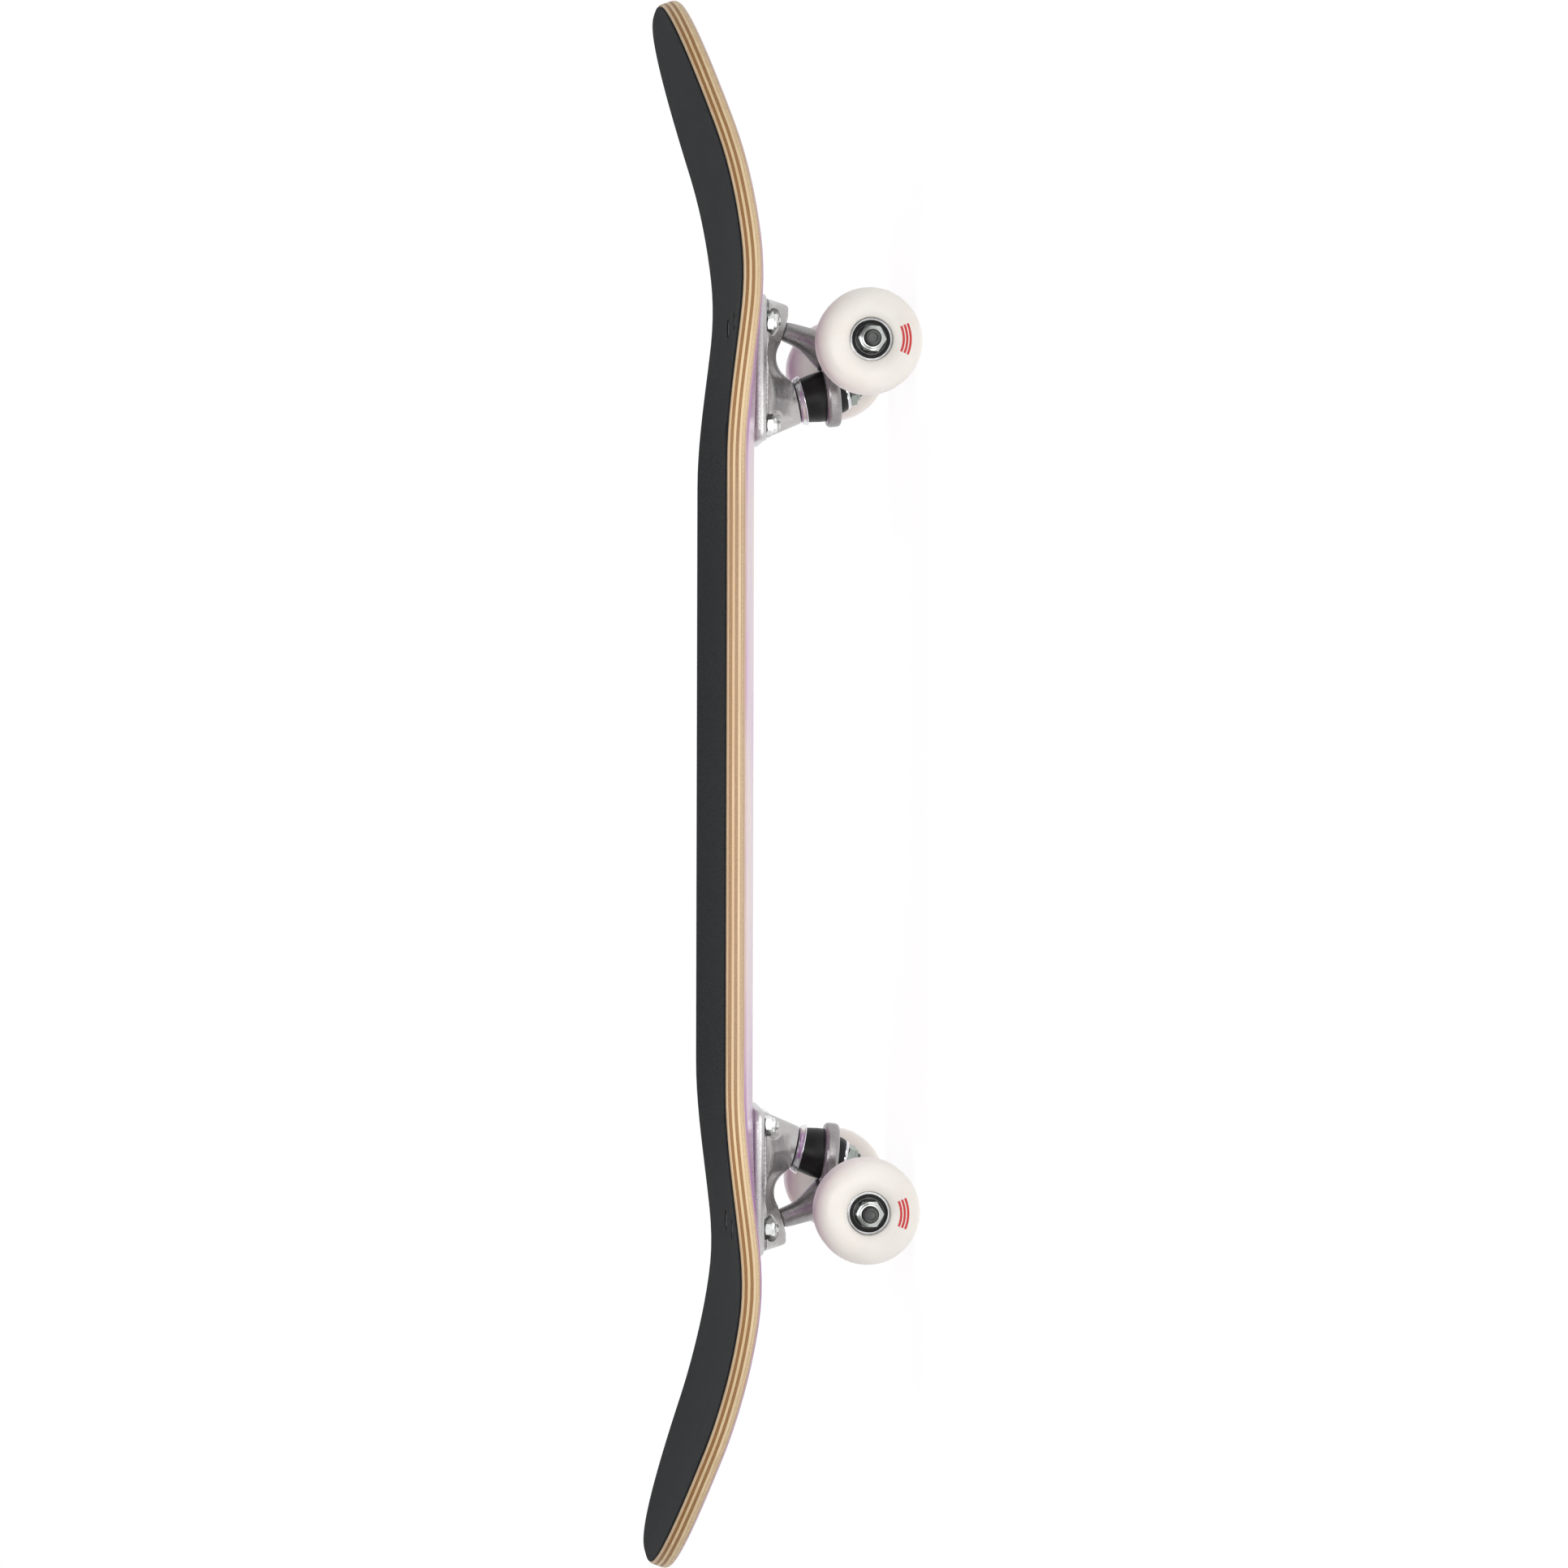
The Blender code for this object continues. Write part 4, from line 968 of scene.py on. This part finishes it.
def plate_casting():
    """Web, kingpin seat and pivot housing with nut pockets, before it is bored."""
    rise = 23.5
    cone = turned([(0, 1.0), (SEAT_RADIUS, 1.0), (SEAT_RADIUS + rise * tan(SEAT_DRAFT), -rise), (0, -rise)])
    housing = cylinder(9.6, -PIVOT_POCKET_DEPTH - 3, PIVOT_MOUTH + 0.3)
    blank = cast_shape([plate_body(), moved(cone, KINGPIN_FRAME), moved(housing, PIVOT_FRAME)], 3)
    return cast_shape([cut(blank, at_bolts(NUT_POCKET_RADIUS, -40, -FLANGE_THICKNESS))], 5)


def plate_shape():
    """Baseplate with its bores, and a bright flange whose top meets the deck's concave underside."""
    top = [(x, y, underside(FLANGE_FIT + x, y) + z) for x, y, z in flange_loop(0.6, -0.15)]
    flange = stacked([flange_loop(inset, z) for inset, z in FLANGE_EDGE] + [top])
    groove = stacked([flange_loop(inset, z) for inset, z in GROOVE_SECTION], hoop=True)
    pin_hole = [(0, -40), (8.7, -40), (8.7, -13.7), (5.0, -13.7), (5.0, 8), (0, 8)]
    bores = [moved(cylinder(16, 0, 12), KINGPIN_FRAME), moved(turned(pin_hole, 48), KINGPIN_FRAME),
             moved(cylinder(PIVOT_POCKET, -PIVOT_POCKET_DEPTH, PIVOT_MOUTH + 12), PIVOT_FRAME),
             moved(cylinder(12, PIVOT_MOUTH, PIVOT_MOUTH + 6), PIVOT_FRAME)]
    bolt_hole = (BOLT_RADIUS + 0.2, -10, 5, 32)
    plate = cut(cut(plate_casting(), bores), [joined(at_bolts(*bolt_hole)), groove])
    flange = cut(flange, [moved(turned(pin_hole, 48), KINGPIN_FRAME), joined(at_bolts(*bolt_hole))])
    return joined([plate, finished(joined([flange, *rib_rows()]), 1)])


def arm_sections():
    """Pivot neck, arm and its flare down into the beam."""
    down = PIVOT_AXIS
    return [(PIVOT + down * 0.5, down, 4.2, 4.2), (PIVOT + down * 3.0, down, 4.5, 4.5),
            (PIVOT + down * 6.0, down, 5.3, 5.3),
            ((11.7, 0, -20.6), (-0.36, 0, -0.93), 5.6, 6.0),
            ((10.5, 0, -24), (-0.42, 0, -0.9), 6.0, 6.8),
            ((8.9, 0, -27.6), (-0.46, 0, -0.89), 6.7, 7.8),
            ((6.8, 0, -31.5), (-0.5, 0, -0.87), 7.8, 9.4),
            ((4.3, 0, -35.5), (-0.52, 0, -0.85), 9.2, 11.6),
            ((1.5, 0, -39.5), (-0.5, 0, -0.87), 10.6, 14.6),
            ((0, 0, -45), (-0.2, 0, -0.98), 9.0, 17.0),
            ((-0.4, 0, -50), (0, 0, -1), 6.5, 17.0)]


def shoulder_tube():
    """Spindle along the axle that swells towards the middle."""
    sections = ((50, -52.2, 7.9, 7.6), (42, -51.4, 8.9, 7.9), (30, -49.6, 10.6, 8.1), (18, -47.4, 12.6, 8.5),
                (8, -46.2, 13.4, 9.0))
    stations = [(-y, *rest) for y, *rest in sections] + list(reversed(sections))
    return stacked([[(thick * cos(angle) + 0.2, y, z + tall * sin(angle)) for angle in turns(40)]
                    for y, z, tall, thick in stations])


def hanger_shape():
    """Hanger casting with machined ends, bushing seats and the kingpin's nut room."""
    beam = turned([(0, -70.5), (8.0, -70.5), (8.15, -64), (8.2, -40), (8.9, -16), (9.3, 0), (8.9, 16),
                   (8.2, 40), (8.15, 64), (8.0, 70.5), (0, 70.5)])
    crosswise = Matrix.Translation(AXLE_CENTRE) @ SIDEWAYS
    edge = arc_points((RING_RADIUS - 1.8, 1.9), 2.0, 0, 90, 3)
    ring = turned(mirrored([(0, 3.9)] + edge[::-1]))
    body = cast_shape([moved(beam, crosswise), shoulder_tube(), oval_tube(arm_sections()),
                       moved(ring, RING_FRAME)], 6)
    ball = [(0, -4.6)] + [(4.6 * cos(radians(a)), 4.6 * sin(radians(a)))
                          for a in (-75, -55, -35, -15, 0, 15, 35, 55)] + [(3.0, 3.0), (0, 3.0)]
    low, high = RING_ALONG - WEB_HALF_HEIGHT, RING_ALONG + WEB_HALF_HEIGHT
    bores = ((6.6, RING_ALONG - 9, RING_ALONG + 9), (LOWER_BUSHING_RADIUS + 0.35, RING_ALONG - 17, low),
             (UPPER_BUSHING_RADIUS + 0.35, high, RING_ALONG + 5), (12.0, RING_ALONG + 4.4, RING_ALONG + 26))
    cuts = [moved(cylinder(*bore), KINGPIN_FRAME) for bore in bores]
    cuts.append(moved(cylinder(AXLE_RADIUS + 0.1, -80, 80, 48), crosswise))
    half = 3.15
    for middle in (-HANGER_HALF_WIDTH - half, HANGER_HALF_WIDTH + half):
        cuts.append(box_shape((-20, middle - half, -75), (20, middle + half, -40)))
    return joined([cut(body, cuts), moved(turned(ball, 48), PIVOT_FRAME)])


def kingpin_stack():
    """(CAD node's ending, shape in the kingpin's frame, slot, *finishes) of what the kingpin holds."""
    def pin_outline(angle):
        reach = hexagon_reach(7, angle)
        return [(0, -19.9), (reach, -19.9), (reach, -14.1), (KINGPIN_RADIUS, -14.1), (KINGPIN_RADIUS, 27),
                (0, 27)]
    pin = joined([turned(pin_outline, 72), threaded(KINGPIN_RADIUS, FINE_THREAD, 26.5, 35.8)])
    dish = curved((5.0, 0.35), ((9.5, 0.35), (11.3, 0.35), (11.9, 0.9), 6),
                  ((12.6, 1.5), (12.7, 2.6), (13.1, 3.2), 6), ((13.6, 3.7), (13.4, 4.2), (12.9, 4.0), 6),
                  ((12.1, 3.4), (12.2, 2.2), (11.5, 1.75), 6))
    low, high = RING_ALONG - WEB_HALF_HEIGHT - 0.05, RING_ALONG + WEB_HALF_HEIGHT + 0.05
    lower = [(5.0, 1.65), (10.8, 1.65), (11.3, 2.0)]
    lower += curved((11.5, 3.0), ((12.0, 7.2), (13.1, 10.0), (13.1, 13.6), 10))
    wide = LOWER_BUSHING_RADIUS
    lower += [(wide + 0.1, low - 0.55), (wide - 0.6, low), (RING_END_BORE, low)]
    wide = UPPER_BUSHING_RADIUS
    upper = [(RING_END_BORE, high), (wide - 0.5, high), (wide, high + 0.65), (wide, 23.4), (wide - 0.3, 24.6),
             (9.9, 26.2), (9.4, 26.7), (8.9, 26.9), (5.0, 26.9)]
    upper_washer = turned([(5.0, 26.95), (8.6, 26.95), (9.2, 26.5), (9.7, 26.6), (9.75, 27.0), (9.2, 27.9),
                           (8.6, 28.3), (5.0, 28.3)])
    nut = moved(lock_nut(*KINGPIN_NUT), Matrix.Translation((0, 0, 28.35)))
    return (("kingpin", pin, "zinc_steel", "dark"),
            ("lower_cup_washer", turned(dish + [(5.0, 1.6)]), "chrome", "chrome"),
            ("lower_bushing", turned(lower), "bushing_urethane", "bushing"),
            ("upper_bushing", turned(upper), "bushing_urethane", "bushing"),
            ("upper_cup_washer", upper_washer, "chrome", "chrome"),
            ("kingpin_nut", nut, "zinc_steel", "kingpin_nut", "bushing"))


def metres(matrix):
    """The same placement with its offset in metres."""
    result = matrix.copy()
    result.translation = matrix.translation * MM
    return result


def add_kingpin_stack(end, place):
    for label, mesh, slot, *finishes in kingpin_stack():
        turn = KINGPIN_NUT_TURNS[end] if label == "kingpin_nut" else 0
        body = "deck"
        if label in BUSHING_BENDS:
            points = [place @ Vector((0, 0, along * MM)) for along in BUSHING_BENDS[label]]
            body = ("deck", f"{end}_truck", *points)
        add_piece(f"{end}_{label}_piece", mesh, place @ about_z(turn), body, f"{end}_{label}", slot,
                  *finishes)


def cup_shape():
    """Pivot cup, as a liner of the baseplate's pocket."""
    lip = PIVOT_MOUTH + 0.1
    return turned([(0, -6.5), (7.35, -6.5), (7.35, PIVOT_MOUTH - 0.3), (7.1, lip), (6.5, lip), (5.2, 0.5),
                   (5.1, -4.9), (0, -4.9)], 64)


def axle_shape():
    """Rod with two threaded tips, each with a shallow centre hole."""
    tips = []
    for way in (FLIP, Matrix()):
        face = AXLE_END - AXLE_THREAD_START
        hole = turned([(0, face - 0.35), (2.2, face - 0.35), (2.6, face + 0.1), (0, face + 0.1)], 32)
        tip = cut(threaded(AXLE_RADIUS, FINE_THREAD, 0, face), [hole], "EXACT")
        tips.append(moved(tip, way @ Matrix.Translation((0, 0, AXLE_THREAD_START))))
    return joined([cylinder(AXLE_RADIUS, -94, 94, 48), *tips])


def add_truck(end, plate_data, hanger_data):
    place = TRUCK[end]
    add_piece(f"{end}_baseplate_casting", copied(plate_data), place, "deck", f"{end}_baseplate",
              "cast_aluminium", "cast", "flange")
    add_piece(f"{end}_hanger_casting", copied(hanger_data), place, f"{end}_truck", f"{end}_hanger",
              "hanger_aluminium", "hanger")
    add_kingpin_stack(end, place @ metres(KINGPIN_FRAME))
    add_piece(f"{end}_pivot_cup_piece", cup_shape(), place @ metres(PIVOT_FRAME), "deck", f"{end}_pivot_cup",
              "bushing_urethane", "bushing")
    hub = place @ Matrix.Translation(AXLE_CENTRE * MM)
    add_piece(f"{end}_axle_piece", axle_shape(), hub @ SIDEWAYS, f"{end}_truck", f"{end}_axle", "zinc_steel",
              "dark")
    side = 1 if end == "front" else -1
    for hand in (1, -1):
        add_wheel(end, "left" if hand * side > 0 else "right", hub, hand)


# Wheels

def wheel_shape():
    half = [(WHEEL_RADIUS, 2.6)]
    half += curved((WHEEL_RADIUS, 5.2), ((WHEEL_RADIUS, 10.6), (23.6, 15.4), (16.8, 15.5), 22),
                   ((14.6, 15.5), (13.0, 14.9), (11.6, 14.1), 8))
    half += [(11.35, 13.9), (11.15, 13.6), (11.08, 13.2), (BEARING_RADIUS + 0.05, 5.05), (9.4, 5.05)]
    return turned(mirrored(half), 176)


def bearing_shape():
    """Outer race, black seal lip and shield; local Z points out of the wheel from the spacer's face."""
    rim, wide = BEARING_RADIUS, BEARING_WIDTH
    race = [(rim, 0.3), (rim, wide - 0.3), (rim - 0.1, wide - 0.08), (rim - 0.25, wide), (10.42, wide),
            (10.36, wide - 0.12), (10.30, wide), (9.85, wide), (9.7, wide - 0.1)]
    lip = [(9.6, wide - 0.5), (9.3, wide - 0.7), (8.5, wide - 0.7)]
    shield = [(8.15, wide - 0.45), (7.9, wide - 0.3), (7.5, wide - 0.3), (7.2, wide - 0.5),
              (6.45, wide - 0.55), (6.45, wide - 1.4)]
    back = [(9.5, wide - 1.4), (9.5, 0.3)]
    return turned(race + lip + shield + back, 128, [0] * 9 + [1] * 3 + [2] * 6 + [0] * 2)


def sleeve_shape():
    """Inner races, spacer and speed washers clamped on the axle."""
    bore, face = AXLE_RADIUS + 0.1, SPACER / 2
    end = face + BEARING_WIDTH
    half = [(bore, end + 1.0), (6.1, end + 1.0), (6.3, end + 0.85), (6.3, end + 0.15), (6.1, end),
            (5.95, end - 0.1), (5.95, face), (5.2, face)]
    return turned(mirrored(half), 64)


def add_wheel(end, hand_name, hub, hand):
    """Wheel with its print on the outward side, bearings, sleeve and nut; hand is +1 on local +Y."""
    outward = Matrix(((0, -hand, 0, 0), (0, 0, hand, 0), (-1, 0, 0, 0), (0, 0, 0, 1)))
    centre = hub @ Matrix.Translation((0, hand * WHEEL_CENTRE * MM, 0)) @ outward
    label = f"{end}_{hand_name}"
    wheel_body, truck_body = f"{label}_wheel", f"{end}_truck"
    add_piece(f"{label}_tyre", wheel_shape(), centre, wheel_body, f"{label}_wheel", "wheel_urethane", "wheel")
    shift = Matrix.Translation((0, 0, SPACER / 2 * MM))
    for side, way in (("outer", Matrix()), ("inner", FLIP)):
        add_piece(f"{label}_{side}_race", bearing_shape(), centre @ way @ shift, wheel_body,
                  f"{label}_{side}_bearing", "bearing_steel", "steel", "bushing", "shield")
    add_piece(f"{label}_sleeve_piece", sleeve_shape(), centre, truck_body, f"{label}_bearing_sleeve",
              "bearing_steel", "steel")
    nut_face = SPACER / 2 + BEARING_WIDTH + 1.02
    nut_place = centre @ Matrix.Translation((0, 0, nut_face * MM)) @ about_z(AXLE_NUT_TURNS[label])
    add_piece(f"{label}_nut_piece", lock_nut(*AXLE_NUT), nut_place, truck_body, f"{label}_axle_nut",
              "zinc_steel", "nut", "bushing")


# Studio

def add_floor():
    mesh = bmesh.new()
    reach = 30.0
    corners = ((-reach, -reach), (reach, -reach), (reach, reach), (-reach, reach))
    mesh.faces.new([mesh.verts.new((x, y, 0)) for x, y in corners])
    data = stored(mesh, "floor")
    data.materials.append(floor_finish())
    linked("floor", data)


def add_light(name, location, aim, size, power):
    light = bpy.data.lights.new(name, "AREA")
    light.shape = "RECTANGLE"
    light.size, light.size_y = size
    light.energy = power
    obj = linked(name, light)
    obj.location = location
    obj.rotation_mode = "QUATERNION"
    obj.rotation_quaternion = (Vector(aim) - Vector(location)).to_track_quat("-Z", "Y")
    obj.visible_camera = False


def add_world():
    """White behind the board that darkens smoothly towards the front."""
    world = bpy.data.worlds.new("studio")
    look = Nodes(world)
    forward = look.parts(look.node("TexCoord", {}, "Generated"))[1]
    background = look.tree.nodes["Background"].inputs
    look.feed(background["Strength"], look.span(forward, *WORLD_FADE, interpolation_type="SMOOTHSTEP"))
    background["Color"].default_value = (1, 1, 1, 1)
    bpy.context.scene.world = world


def add_studio():
    add_floor()
    add_world()
    bpy.context.scene.view_settings.view_transform = "Standard"
    for light in LIGHTS:
        add_light(*light)


def add_camera():
    """Beside the board and a little above it, turned so that the nose points down."""
    away = Vector((sin(CAMERA_AZIMUTH) * cos(CAMERA_ELEVATION),
                   cos(CAMERA_AZIMUTH) * cos(CAMERA_ELEVATION), sin(CAMERA_ELEVATION)))
    right = (-away).cross(Vector((-1, 0, 0))).normalized()
    up = right.cross(-away)
    cos_roll, sin_roll = cos(CAMERA_ROLL), sin(CAMERA_ROLL)
    right, up = cos_roll * right + sin_roll * up, -sin_roll * right + cos_roll * up
    matrix = Matrix((right, up, away)).transposed().to_4x4()
    matrix.translation = BOARD_ORIGIN + CAMERA_TARGET + away * CAMERA_DISTANCE
    data = bpy.data.cameras.new("camera")
    data.sensor_width = 36
    data.lens = CAMERA_LENS
    data.clip_end = 100
    camera = linked("camera", data)
    camera.matrix_world = matrix
    bpy.context.scene.camera = camera


add_board()
plate_data, hanger_data = stored(plate_shape()), stored(hanger_shape())
for end in TRUCK:
    add_bolts(end)
    add_truck(end, plate_data, hanger_data)
bpy.data.meshes.remove(plate_data)
bpy.data.meshes.remove(hanger_data)
add_studio()
add_camera()
